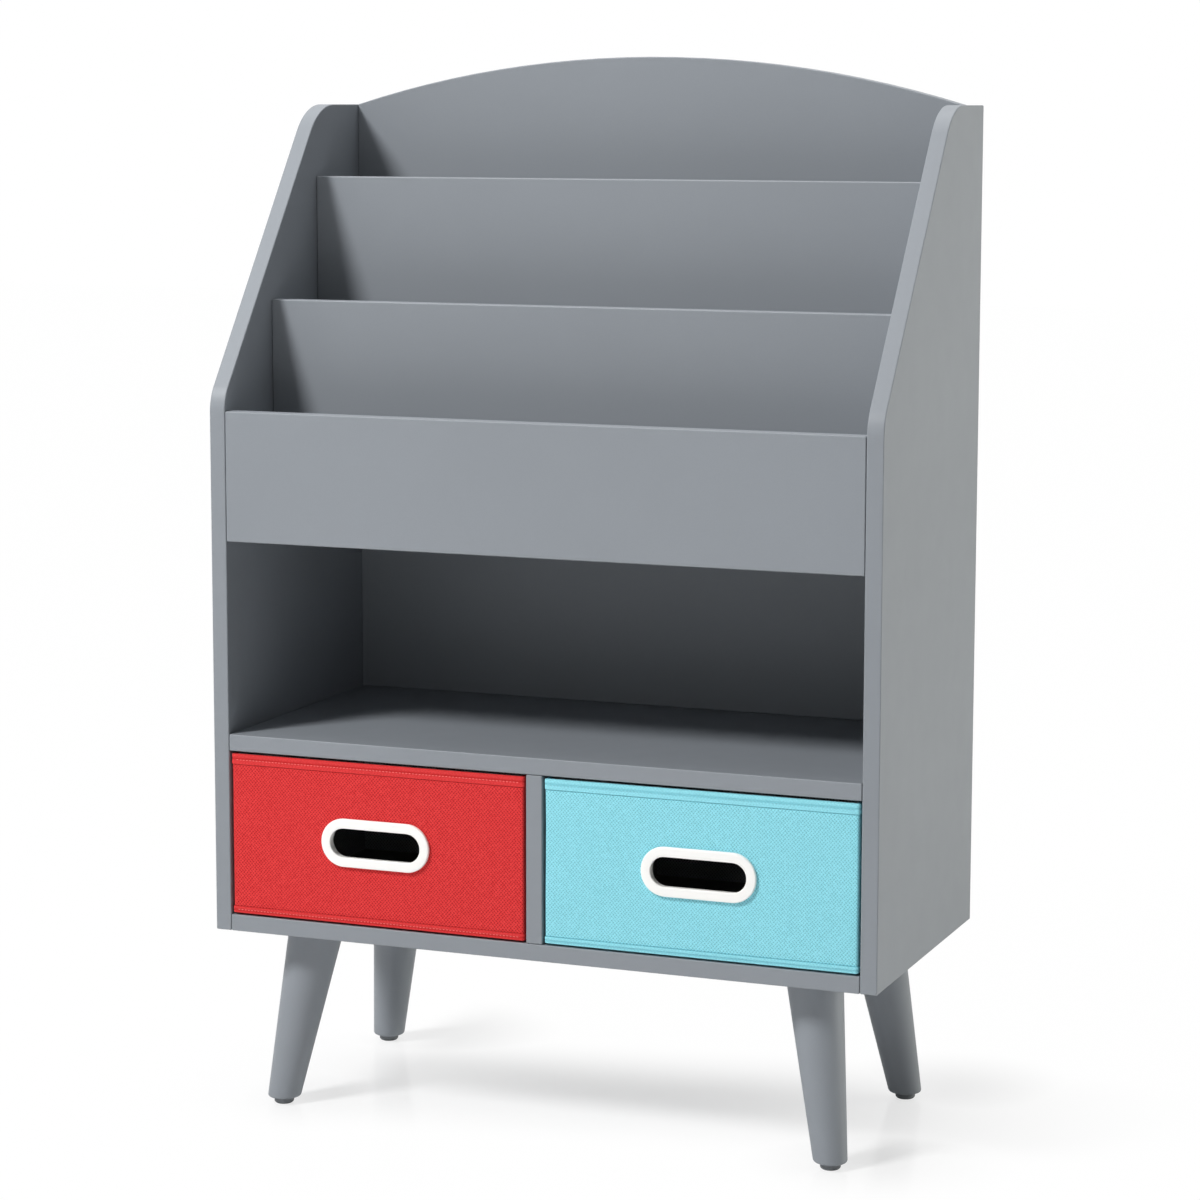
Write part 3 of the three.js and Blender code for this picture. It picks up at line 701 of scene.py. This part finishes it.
class RACK_OT_leg_hardware(bpy.types.Operator):
    """Make the leg plates, their screws and the glides, and plate the hanger bolts"""
    bl_idname = "book_rack.leg_hardware"
    bl_label = "Leg Plates, Screws and Glides"

    plate_ease = 0.4 * MM
    screw_reach = 23 * MM  # from the middle of a plate, along each of its sides
    screw_turn = 0.4  # radians, so that no two screws of a plate stop at the same turn
    screw_radius = 4 * MM
    screw_crown = 0.9 * MM
    screw_cross = 4.2 * MM
    screw_cross_depth = 1.3 * MM
    head_height = 1.1 * MM
    head_edge = 0.5 * MM
    head_flare = 1.02
    shank_share = 0.5  # of the head's radius
    shank_length = 12 * MM
    tip_share = 0.2  # of the shank's radius
    tip_length = 3 * MM
    stem_radius = 2.5 * MM
    stem_tip = 2 * MM
    glide_chamfer = 1.6 * MM
    glide_ease = 0.7 * MM

    def execute(self, context):
        settings = context.scene.book_rack_legs
        steel = plated_steel(settings)
        plastic = dark_plastic(settings)
        for corner in CORNERS:
            eased_copy(f"{corner}_leg_plate", "case", steel, self.plate_ease, 2)
            self.screws(corner, steel)
            self.glide(corner, settings, plastic)
            recoat(f"{corner}_hanger_bolt", steel)
        return {"FINISHED"}

    def screws(self, corner, steel):
        """Four screws with their heads under the plate, each stopped at its own turn."""
        low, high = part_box(f"{corner}_leg_plate")
        centre = (low + high) / 2
        spots = [(x, y) for x in (-1, 1) for y in (-1, 1)]
        steps = ((self.head_flare, -self.head_edge), (1, self.head_edge - self.head_height),
                 (self.shank_share, 0), (1, -self.shank_length), (self.tip_share, -self.tip_length))
        for number, (x, y) in enumerate(spots, 1):
            bm, ring = cross_head(self.screw_radius, self.screw_crown, self.screw_cross,
                                  self.screw_cross_depth)
            body_below(bm, ring, steps)
            turn = Matrix.Rotation(math.pi, 4, "X") @ Matrix.Rotation(self.screw_turn * number + x, 4, "Z")
            spot = Vector((centre.x, centre.y, low.z - self.head_height))
            spot += self.screw_reach * Vector((x, y, 0))
            bmesh.ops.transform(bm, matrix=Matrix.Translation(spot) @ turn, verts=bm.verts)
            finish_piece(bm, f"{corner}_plate_screw_{number}", "case", steel)

    def glide(self, corner, settings, plastic):
        """A disc with an eased lower rim, and its stem."""
        low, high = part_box(f"{corner}_glide")
        radius = settings.glide_diameter / 2
        height = settings.glide_height
        profile = [(0, 0), (radius - self.glide_chamfer, 0), (radius, self.glide_chamfer), (radius, height),
                   (self.stem_radius, height), (self.stem_radius, high.z - self.stem_tip), (0, high.z)]
        bm = turned(profile, 48)
        for level in (0, self.glide_chamfer):
            ease(bm, level_edges(bm, level), self.glide_ease)
        bmesh.ops.translate(bm, verts=bm.verts, vec=((low.x + high.x) / 2, (low.y + high.y) / 2, 0))
        glide = finish_piece(bm, f"{corner}_glide_pad", "case", plastic)
        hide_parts(f"{corner}_glide")


# Bins

# A grip's hole has two straight sides and round ends, and its collar passes through cloth and card
GRIP_STRAIGHT = 61 * MM
GRIP_HOLE_RADIUS = 13 * MM
COLLAR_WALL = 1.8 * MM
COLLAR_ROOM = 0.4 * MM

Hole = namedtuple("Hole", "x z straight radius")
Wall = namedtuple("Wall", "start along out length")
Groove = namedtuple("Groove", "depth share width")


class Box:
    """An upright box with rounded corners, and the ways round it."""

    def __init__(self, low, high, corner):
        self.low, self.high, self.corner = Vector(low), Vector(high), corner

    def anchor(self, spot):
        """The nearest point of the box's plan with its rounded border taken off."""
        return Vector((
            min(max(spot.x, self.low.x + self.corner), self.high.x - self.corner),
            min(max(spot.y, self.low.y + self.corner), self.high.y - self.corner),
        ))

    def depth(self, spot):
        """How far inside the nearest wall a point is."""
        return min(*(spot.xy - self.low.xy), *(self.high.xy - spot.xy))

    def outward(self, spot):
        """The level direction straight out of the wall at a point."""
        away = spot.xy - self.anchor(spot)
        return away.normalized() if away.length > 1e-9 else Vector((0, 0))

    def wall(self, turns):
        """One of the four walls: 0 is the front, then the right, the rear and the left."""
        corners = (
            Vector((self.low.x, self.low.y, 0)), Vector((self.high.x, self.low.y, 0)),
            Vector((self.high.x, self.high.y, 0)), Vector((self.low.x, self.high.y, 0)),
        )
        start, end = corners[turns], corners[(turns + 1) % 4]
        along = (end - start).normalized()
        return Wall(start, along, Vector((along.y, -along.x, 0)), (end - start).length)


def cloth_box(box, cell, heights, hole, rims, bottom_round):
    """An open-topped box of cloth as one layer: walls cut into small cells, a hole in its front wall,
    and its top edge folded inwards through the given (inset, height) steps."""
    size = box.high - box.low
    bm = bmesh.new()
    place = Matrix.Translation((box.low + box.high) / 2) @ Matrix.Diagonal((*size, 1))
    bmesh.ops.create_cube(bm, size=1, matrix=place)
    top = [f for f in bm.faces if f.normal.z > 0.5]
    bmesh.ops.delete(bm, geom=top, context="FACES_ONLY")
    upright = [e for e in bm.edges if abs(e.verts[0].co.z - e.verts[1].co.z) > size.z / 2]
    ease(bm, upright, box.corner, 5)
    ease(bm, level_edges(bm, box.low.z), bottom_round, 4)

    def slice_at(spot, normal):
        bmesh.ops.bisect_plane(bm, geom=bm.verts[:] + bm.edges[:] + bm.faces[:], dist=CLOSE,
                               plane_co=spot, plane_no=normal)

    for axis in (0, 1):
        span = size[axis] - 2 * box.corner
        steps = round(span / cell)
        normal = Vector((axis == 0, axis == 1, 0))
        for step in range(steps + 1):
            slice_at(box.low + normal * (box.corner + span * step / steps), normal)
    for height in heights:
        slice_at((0, 0, height), (0, 0, 1))
    cut_hole(bm, hole, box.low.y)
    fold_rim(bm, box, rims)
    bm.normal_update()
    lay_pattern(bm, box)
    return bm


def cut_hole(bm, hole, wall):
    """Cut a stadium-shaped hole in the wall that lies at a depth, and draw the cells' edges up to it."""
    thin = 0.1 * MM
    beside_hole = 1.5  # of the hole's radius

    def away(spot):
        along = min(max(spot.x, hole.x - hole.straight / 2), hole.x + hole.straight / 2)
        return Vector((spot.x - along, 0, spot.z - hole.z)), Vector((along, spot.y, hole.z))

    inside = []
    for face in bm.faces:
        spot = face.calc_center_median()
        if abs(spot.y - wall) < thin and away(spot)[0].length < hole.radius:
            inside.append(face)
    bmesh.ops.delete(bm, geom=inside, context="FACES")
    for edge in [e for e in bm.edges if e.is_boundary]:
        for vert in edge.verts:
            reach, centre = away(vert.co)
            if abs(vert.co.y - wall) < thin and reach.length < hole.radius * beside_hole:
                vert.co = centre + reach.normalized() * hole.radius


def fold_rim(bm, box, steps):
    """Carry the top edge inwards and over, through (inset, height) steps."""
    ring = [e for e in level_edges(bm, box.high.z) if e.is_boundary]
    inset = 0
    for new_inset, height in steps:
        made = bmesh.ops.extrude_edge_only(bm, edges=ring)["geom"]
        ring = only(BMEdge, made)
        for vert in only(BMVert, made):
            flat = vert.co.xy - box.outward(vert.co) * (new_inset - inset)
            flat.x = min(max(flat.x, box.low.x + new_inset), box.high.x - new_inset)
            flat.y = min(max(flat.y, box.low.y + new_inset), box.high.y - new_inset)
            vert.co = Vector((flat.x, flat.y, height))
        inset = new_inset
    bmesh.ops.remove_doubles(bm, verts=bm.verts, dist=CLOSE)


def lay_pattern(bm, box):
    """UVs in metres that run round the walls and lie flat on the bottom and the rim."""
    level_lean = 0.75
    layer = bm.loops.layers.uv.new("Cloth")
    wide = box.high.x - box.low.x
    deep = box.high.y - box.low.y
    for face in bm.faces:
        lean = face.normal
        for loop in face.loops:
            spot = loop.vert.co - box.low
            if abs(lean.z) > level_lean:
                loop[layer].uv = (spot.x, spot.y)
            elif abs(lean.y) >= abs(lean.x):
                along = spot.x if lean.y < 0 else 2 * wide + deep - spot.x
                loop[layer].uv = (along, spot.z)
            else:
                along = wide + spot.y if lean.x > 0 else 2 * (wide + deep) - spot.y
                loop[layer].uv = (along, spot.z)


def thicken(piece, thickness, even=False):
    """Give a sheet its thickness, to the inside of its faces."""
    shell = piece.modifiers.new("Cloth thickness", "SOLIDIFY")
    shell.thickness = thickness
    shell.offset = -1
    shell.use_even_offset = even


def ripple(spot, seed, size):
    """A smooth wander between -1 and 1, the same each run."""
    return noise.noise(Vector((spot.x / size + seed, spot.y / size, spot.z / size)))


def grip_hole(name):
    """The hole in a bin's cloth that the grip's collar passes through."""
    centre = middle(f"{name}_grip_ring")
    return Hole(centre.x, centre.z, GRIP_STRAIGHT, GRIP_HOLE_RADIUS + COLLAR_WALL + COLLAR_ROOM)


class RACK_OT_bin_covers(bpy.types.Operator):
    """Sew the bins' cloth covers, with their hems and stitching"""
    bl_idname = "book_rack.bin_covers"
    bl_label = "Bin Covers"

    # Hems. Shares of a hem's height are measured from the bin's edge
    hem_out = 0.75 * MM
    hem_end = 1.02
    hem_slope = 0.05
    crease = Groove(0.30 * MM, 0.45, 0.07)
    seam = Groove(0.35 * MM, 1.03, 0.05)
    cut_shares = (0.1, 0.2, 0.3, 0.36, 0.4, 0.44, 0.48, 0.53, 0.57, 0.64, 0.74, 0.84, 0.92, 0.95, 0.98, 1.0,
                  1.03, 1.06, 1.1, 1.18)
    rim_fold = ((0.5 * MM, 0.45 * MM), (1.3 * MM, 0.75 * MM), (2.6 * MM, 0.75 * MM), (3.6 * MM, 0.4 * MM))
    rim_height = 0.75 * MM
    row_room = 0.2 * MM  # from the bottom's rounding to the lowest row of cells

    # Rows of stitches
    crease_stitch_share = 0.545
    crease_stitch_size = 0.36 * MM
    seam_stitch_size = 0.3 * MM
    stitch_flatness = 0.7
    row_spare = 6 * MM  # of a wall's length, which a row leaves free at its ends

    # Waves of the cloth between its hems, and the sag of its bottom
    seeds = {"left": 3.1, "right": 11.7}  # where each cover starts in the noise
    short_wave_seed = 5
    sag_run = 15 * MM  # from the walls to where the bottom lies on what it stands on
    still_share = 0.4  # of the bottom's rounding, below which the cloth stays as it is cut
    slack_run = 40 * MM  # from the foot or the rim to where the cloth wanders in full
    least_slack = 0.25
    long_wave = 60 * MM
    short_wave = 22 * MM
    short_wave_share = 0.4
    inward_share = 0.4

    def execute(self, context):
        settings = context.scene.book_rack_bins
        for name in BINS:
            self.cover(name, settings)
        return {"FINISHED"}

    def hem(self, height, box, settings):
        """How far the cloth stands out at a height: two hems, each with a crease and a seam."""
        out = 0.0
        for distance, band in ((box.high.z - height, settings.top_hem),
                               (height - box.low.z, settings.bottom_hem)):
            share = distance / band
            out += self.hem_out * min(max((self.hem_end - share) / self.hem_slope, 0), 1)
            for groove in (self.crease, self.seam):
                out -= groove.depth * math.exp(-((share - groove.share) / groove.width) ** 2)
        return out

    def heights(self, box, settings):
        """Heights at which the cloth is cut into rows, closest at the creases and the seams."""
        lowest = settings.bottom_round + self.row_room
        top = [box.high.z - settings.top_hem * share for share in self.cut_shares]
        foot = [box.low.z + settings.bottom_hem * share for share in self.cut_shares
                if settings.bottom_hem * share > lowest]
        steps = round((top[-1] - foot[-1]) / settings.cell)
        between = [foot[-1] + (top[-1] - foot[-1]) * step / steps for step in range(1, steps)]
        return top + foot + between

    def cover(self, name, settings):
        """One cover: drawn in a little at its sides and up at its foot, its rim rolled inwards."""
        low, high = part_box(f"{name}_bin_cover")
        low += Vector((settings.side_room, 0, settings.foot_room))
        high -= Vector((settings.side_room, 0, 0))
        box = Box(low, high, settings.corner)
        wall_top = high.z - self.rim_height
        walls = Box(low, (high.x, high.y, wall_top), settings.corner)
        rims = [(inset, wall_top + height) for inset, height in self.rim_fold]
        bm = cloth_box(walls, settings.cell, self.heights(box, settings), grip_hole(name), rims,
                       settings.bottom_round)
        self.shape(bm, box, settings, self.seeds[name])
        tall = high.z - low.z
        seams = (settings.bottom_hem, tall - settings.top_hem)
        creases = (settings.bottom_hem * self.crease.share, tall - settings.top_hem * self.crease.share)
        material = cloth(f"{name.title()} bin cloth", getattr(settings, f"{name}_cloth"),
                         getattr(settings, f"{name}_mark"), settings, seams, creases)
        cover = finish_piece(bm, f"{name}_bin_cloth_cover", f"{name}_bin", material,
                             sharp=70)
        thicken(cover, settings.cover_thickness, even=True)
        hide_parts(f"{name}_bin_cover")
        self.stitching(name, box, settings)

    def shape(self, bm, box, settings, seed):
        """Press the hems into the walls, let the cloth between them wander a little and let the bottom
        sag to what it stands on."""
        for vert in bm.verts:
            if vert.co.z - box.low.z < CLOSE:
                vert.co.z -= settings.foot_room * min(box.depth(vert.co) / self.sag_run, 1)
            if vert.co.z - box.low.z < self.still_share * settings.bottom_round:
                continue
            share = min(vert.co.z - box.low.z, box.high.z - vert.co.z) / self.slack_run
            slack = settings.waviness * min(max(share, self.least_slack), 1)
            wave = ripple(vert.co, seed, self.long_wave)
            wave += self.short_wave_share * ripple(vert.co, seed + self.short_wave_seed, self.short_wave)
            out = self.hem(vert.co.z, box, settings) + slack * (wave - self.inward_share)
            vert.co.xy += box.outward(vert.co) * out

    def stitching(self, name, box, settings):
        """Two rows of stitches round each hem: one in its crease and one in its seam."""
        rows = []
        for place, edge, height in (("top", box.high.z, -settings.top_hem),
                                    ("bottom", box.low.z, settings.bottom_hem)):
            for kind, share, size in (("crease", self.crease_stitch_share, self.crease_stitch_size),
                                      ("seam", 1.0, self.seam_stitch_size)):
                bm = self.row(edge + height * share, box, settings, size)
                material = thread(f"{name.title()} bin {kind} thread", getattr(settings, f"{name}_{kind}"))
                rows.append(finish_piece(bm, f"{name}_bin_{place}_{kind}_stitches", f"{name}_bin",
                                         material, sharp=80))
        return rows

    def row(self, height, box, settings, size):
        """One row of stitches round the walls at a height, clear of the corners."""
        bm = bmesh.new()
        for turns in range(4):
            wall = box.wall(turns)
            count = int((wall.length - self.row_spare) / settings.stitch_pitch)
            start = (wall.length - (count - 1) * settings.stitch_pitch) / 2
            spot = wall.start + wall.along * start + wall.out * self.hem(height, box, settings)
            spot.z = height
            facing = Matrix((wall.along, wall.out, (0, 0, 1))).transposed().to_4x4()
            shape = Matrix.Diagonal((settings.stitch / 2, self.stitch_flatness * size, size, 1))
            place = Matrix.Translation(spot) @ facing @ shape @ Matrix.Rotation(math.pi / 2, 4, "Y")
            one = bmesh.new()
            bmesh.ops.create_uvsphere(one, u_segments=6, v_segments=5, radius=1, matrix=place)
            bmesh.ops.spin(one, geom=one.verts[:] + one.edges[:] + one.faces[:], cent=(0, 0, 0),
                           axis=(0, 0, 1), dvec=wall.along * settings.stitch_pitch, angle=0,
                           steps=count - 1, use_duplicate=True)
            mesh = bpy.data.meshes.new("row")
            one.to_mesh(mesh)
            one.free()
            bm.from_mesh(mesh)
            bpy.data.meshes.remove(mesh)
        bmesh.ops.recalc_face_normals(bm, faces=bm.faces)
        return bm


class RACK_OT_bin_linings(bpy.types.Operator):
    """Sew the bins' grey linings"""
    bl_idname = "book_rack.bin_linings"
    bl_label = "Bin Linings"

    corner = 1.0 * MM
    bottom_round = 1.5 * MM
    rim_height = 0.4 * MM
    rim_fold = ((0.3 * MM, 0.25 * MM), (0.7 * MM, 0.25 * MM))
    seed = 21.3  # where the linings start in the noise
    wave = 45 * MM
    wave_depth = 0.5 * MM
    wave_lift = 0.2
    smooth_foot = 2 * MM
    smooth_rim = 6 * MM

    def execute(self, context):
        settings = context.scene.book_rack_bins
        material = cloth("Grey lining cloth", settings.lining, settings.lining_mark, settings)
        for name in BINS:
            low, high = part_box(f"{name}_bin_lining")
            high.z -= self.rim_height
            box = Box(low, high, self.corner)
            tall = high.z - low.z
            steps = round(tall / settings.cell)
            heights = [low.z + tall * step / steps for step in range(1, steps)]
            rims = [(inset, high.z + height) for inset, height in self.rim_fold]
            bm = cloth_box(box, settings.cell, heights, grip_hole(name), rims, self.bottom_round)
            for vert in bm.verts:
                if self.smooth_foot < vert.co.z - low.z < tall - self.smooth_rim:
                    wave = max(ripple(vert.co, self.seed, self.wave) + self.wave_lift, 0)
                    vert.co.xy -= box.outward(vert.co) * self.wave_depth * wave
            lining = finish_piece(bm, f"{name}_bin_cloth_lining", f"{name}_bin", material,
                                  sharp=70)
            thicken(lining, settings.lining_thickness)
            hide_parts(f"{name}_bin_lining")
        return {"FINISHED"}


class RACK_OT_bin_cards(bpy.types.Operator):
    """Cut the cards that stiffen the bins"""
    bl_idname = "book_rack.bin_cards"
    bl_label = "Bin Cards"

    base_ease = 0.5 * MM

    def execute(self, context):
        settings = context.scene.book_rack_bins
        board = grey_card(settings)
        for name in BINS:
            for wall in ("front", "rear", "left", "right"):
                recoat(f"{name}_bin_{wall}_card", board)
            eased_copy(f"{name}_bin_base_card", f"{name}_bin", board, self.base_ease, 2)
        return {"FINISHED"}


class RACK_OT_grip_rings(bpy.types.Operator):
    """Mould the white grip rings and the backing rings that clip behind them"""
    bl_idname = "book_rack.grip_rings"
    bl_label = "Grip Rings"

    flange_width = 8.8 * MM
    flange_thickness = 3 * MM
    lip_depth = 2.0 * MM
    relief = 1.3 * MM  # how much wider the hole is behind its lip
    backing_width = 7 * MM
    inner_round = 0.9 * MM
    outer_round = 1.3 * MM
    edge_round = 0.5 * MM
    collar_round = 0.2 * MM
    backing_inner_round = 0.4 * MM
    backing_outer_round = 0.8 * MM

    def execute(self, context):
        plastic = white_plastic(context.scene.book_rack_bins)
        hole = GRIP_HOLE_RADIUS
        wide_hole = hole + self.relief
        outer = hole + self.flange_width
        collar = hole + COLLAR_WALL
        for name in BINS:
            centre = middle(f"{name}_grip_ring")
            low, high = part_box(f"{name}_grip_ring")
            back = low.y + self.flange_thickness
            lip = low.y + self.lip_depth
            flange = (
                (wide_hole, high.y, self.collar_round), (wide_hole, lip + self.relief, 0), (hole, lip, 0),
                (hole, low.y, self.inner_round), (outer, low.y, self.outer_round),
                (outer, back, self.edge_round), (collar, back, 0), (collar, high.y, self.collar_round),
            )
            ring = self.sweep(flange, centre)
            piece = finish_piece(ring, f"{name}_grip_moulding", f"{name}_bin", plastic)
            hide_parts(f"{name}_grip_ring")

            low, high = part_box(f"{name}_grip_backing_ring")
            inner = collar + COLLAR_ROOM
            backing_outer = hole + self.backing_width
            band = (
                (inner, high.y, self.backing_inner_round), (inner, low.y, 0), (backing_outer, low.y, 0),
                (backing_outer, high.y, self.backing_outer_round),
            )
            ring = self.sweep(band, centre)
            piece = finish_piece(ring, f"{name}_grip_backing", f"{name}_bin", plastic)
            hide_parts(f"{name}_grip_backing_ring")
        return {"FINISHED"}

    def sweep(self, outline, centre):
        """Carry an outline of (radius, depth, rounding) corners round a stadium."""
        bm = bmesh.new()
        right = centre.x + GRIP_STRAIGHT / 2
        corners = [bm.verts.new((right, depth, centre.z - radius)) for radius, depth, _ in outline]
        bm.faces.new(corners)
        for corner, (_, _, rounding) in zip(corners, outline):
            if rounding:
                bmesh.ops.bevel(bm, geom=[corner], offset=rounding, offset_type="OFFSET", segments=6,
                                profile=0.5, affect="VERTICES", material=-1)
        bmesh.ops.delete(bm, geom=bm.faces[:], context="FACES_ONLY")
        edges = bm.edges[:]
        for side in (1, -1):
            hub = (centre.x + side * GRIP_STRAIGHT / 2, 0, centre.z)
            last = bmesh.ops.spin(bm, geom=edges, cent=hub, axis=(0, -1, 0), angle=math.pi, steps=32)
            made = bmesh.ops.extrude_edge_only(bm, edges=only(BMEdge, last["geom_last"]))["geom"]
            bmesh.ops.translate(bm, verts=only(BMVert, made), vec=(-side * GRIP_STRAIGHT, 0, 0))
            edges = only(BMEdge, made)
        bmesh.ops.remove_doubles(bm, verts=bm.verts, dist=CLOSE)
        bmesh.ops.recalc_face_normals(bm, faces=bm.faces)
        return bm


# Stage

class RACK_OT_stage(bpy.types.Operator):
    """Set the floor, the lamps, the background and the camera"""
    bl_idname = "book_rack.stage"
    bl_label = "Stage"

    floor_half = 12.0
    aim = Vector((0, 0, 0.5))  # where the lamps point
    key_place = Vector((-2.1, -2.9, 3.7))
    key_size = 1.1
    side_place = Vector((2.7, 1.5, 0.65))
    side_size = 1.6
    top_place = Vector((-0.2, 0.5, 3.0))
    top_size = 2.4

    def execute(self, context):
        scene = context.scene
        settings = scene.book_rack_stage
        self.floor(scene, settings)
        self.lamp(scene, "Key lamp", self.key_place, self.key_size, settings.key)
        self.lamp(scene, "Side lamp", self.side_place, self.side_size, settings.side, settings.side_tint)
        self.lamp(scene, "Top lamp", self.top_place, self.top_size, settings.top)
        self.background(scene, settings.fill)
        self.camera(scene, settings)
        scene.view_settings.view_transform = "Standard"
        return {"FINISHED"}

    def floor(self, scene, settings):
        bm = bmesh.new()
        bmesh.ops.create_grid(bm, x_segments=1, y_segments=1, size=self.floor_half)
        mesh = bpy.data.meshes.new("floor")
        bm.to_mesh(mesh)
        bm.free()
        mesh.materials.append(pale_floor(settings))
        floor = bpy.data.objects.new("floor", mesh)
        scene.collection.objects.link(floor)

    def lamp(self, scene, name, place, size, watts, tint=(1, 1, 1)):
        light = bpy.data.lights.new(name, "AREA")
        light.color = tint
        light.shape = "DISK"
        light.size = size
        light.energy = watts
        lamp = bpy.data.objects.new(name, light)
        lamp.location = place
        lamp.rotation_euler = (self.aim - place).to_track_quat("-Z", "Y").to_euler()
        scene.collection.objects.link(lamp)

    def background(self, scene, fill):
        """White where it is seen, straight, in gloss or through glass, and elsewhere an even fill light."""
        world = bpy.data.worlds.new("Studio")
        scene.world = world
        world.use_nodes = True
        nodes = Nodes(world.node_tree)
        light = nodes.add("ShaderNodeLightPath").outputs
        shiny = nodes.math("MAXIMUM", light["Is Glossy Ray"], light["Is Transmission Ray"])
        seen = nodes.math("MAXIMUM", light["Is Camera Ray"], shiny)
        strength = nodes.spread(seen, fill, 1.0, 0.0, 1.0)
        backdrop = nodes.add("ShaderNodeBackground", {"Color": (1, 1, 1, 1), "Strength": strength})
        nodes.add("ShaderNodeOutputWorld", {"Surface": backdrop.outputs[0]})

    def camera(self, scene, settings):
        data = bpy.data.cameras.new("Camera")
        data.sensor_width = 36
        data.lens = settings.lens
        data.shift_x, data.shift_y = settings.shift
        camera = bpy.data.objects.new("Camera", data)
        pitch, roll, yaw = settings.turn
        turn = (Matrix.Rotation(yaw, 4, "Z") @ Matrix.Rotation(math.pi / 2 + pitch, 4, "X")
                @ Matrix.Rotation(roll, 4, "Z"))
        camera.matrix_world = Matrix.Translation(settings.place) @ turn
        scene.collection.objects.link(camera)
        scene.camera = camera


class RACK_PT_panel(bpy.types.Panel):
    """Lists the steps that build the rack, with their settings"""
    bl_label = "Book Rack"
    bl_idname = "RACK_PT_panel"
    bl_space_type = "VIEW_3D"
    bl_region_type = "UI"
    bl_category = "Book Rack"

    def draw(self, context):
        for prop, operators in STEPS:
            box = self.layout.box()
            group = getattr(context.scene, prop)
            for key in group.__annotations__:
                box.prop(group, key)
            for operator in operators:
                box.operator(operator.bl_idname)


SETTINGS = (
    ("book_rack_case", CaseSettings),
    ("book_rack_legs", LegSettings),
    ("book_rack_bins", BinSettings),
    ("book_rack_stage", StageSettings),
)
STEPS = (
    ("book_rack_case", (RACK_OT_case_boards,)),
    ("book_rack_legs", (RACK_OT_legs, RACK_OT_leg_hardware, RACK_OT_cam_fittings)),
    ("book_rack_bins", (RACK_OT_bin_covers, RACK_OT_bin_linings, RACK_OT_bin_cards, RACK_OT_grip_rings)),
    ("book_rack_stage", (RACK_OT_stage,)),
)
CLASSES = (
    *(group for _, group in SETTINGS),
    *(operator for _, operators in STEPS for operator in operators),
    RACK_PT_panel,
)


def register():
    for item in CLASSES:
        bpy.utils.register_class(item)
    for prop, group in SETTINGS:
        setattr(bpy.types.Scene, prop, PointerProperty(type=group))


def unregister():
    for prop, _ in SETTINGS:
        delattr(bpy.types.Scene, prop)
    for item in reversed(CLASSES):
        bpy.utils.unregister_class(item)


def main():
    register()
    for _, operators in STEPS:
        for operator in operators:
            group, name = operator.bl_idname.split(".")
            getattr(getattr(bpy.ops, group), name)()


if __name__ == "__main__":
    main()
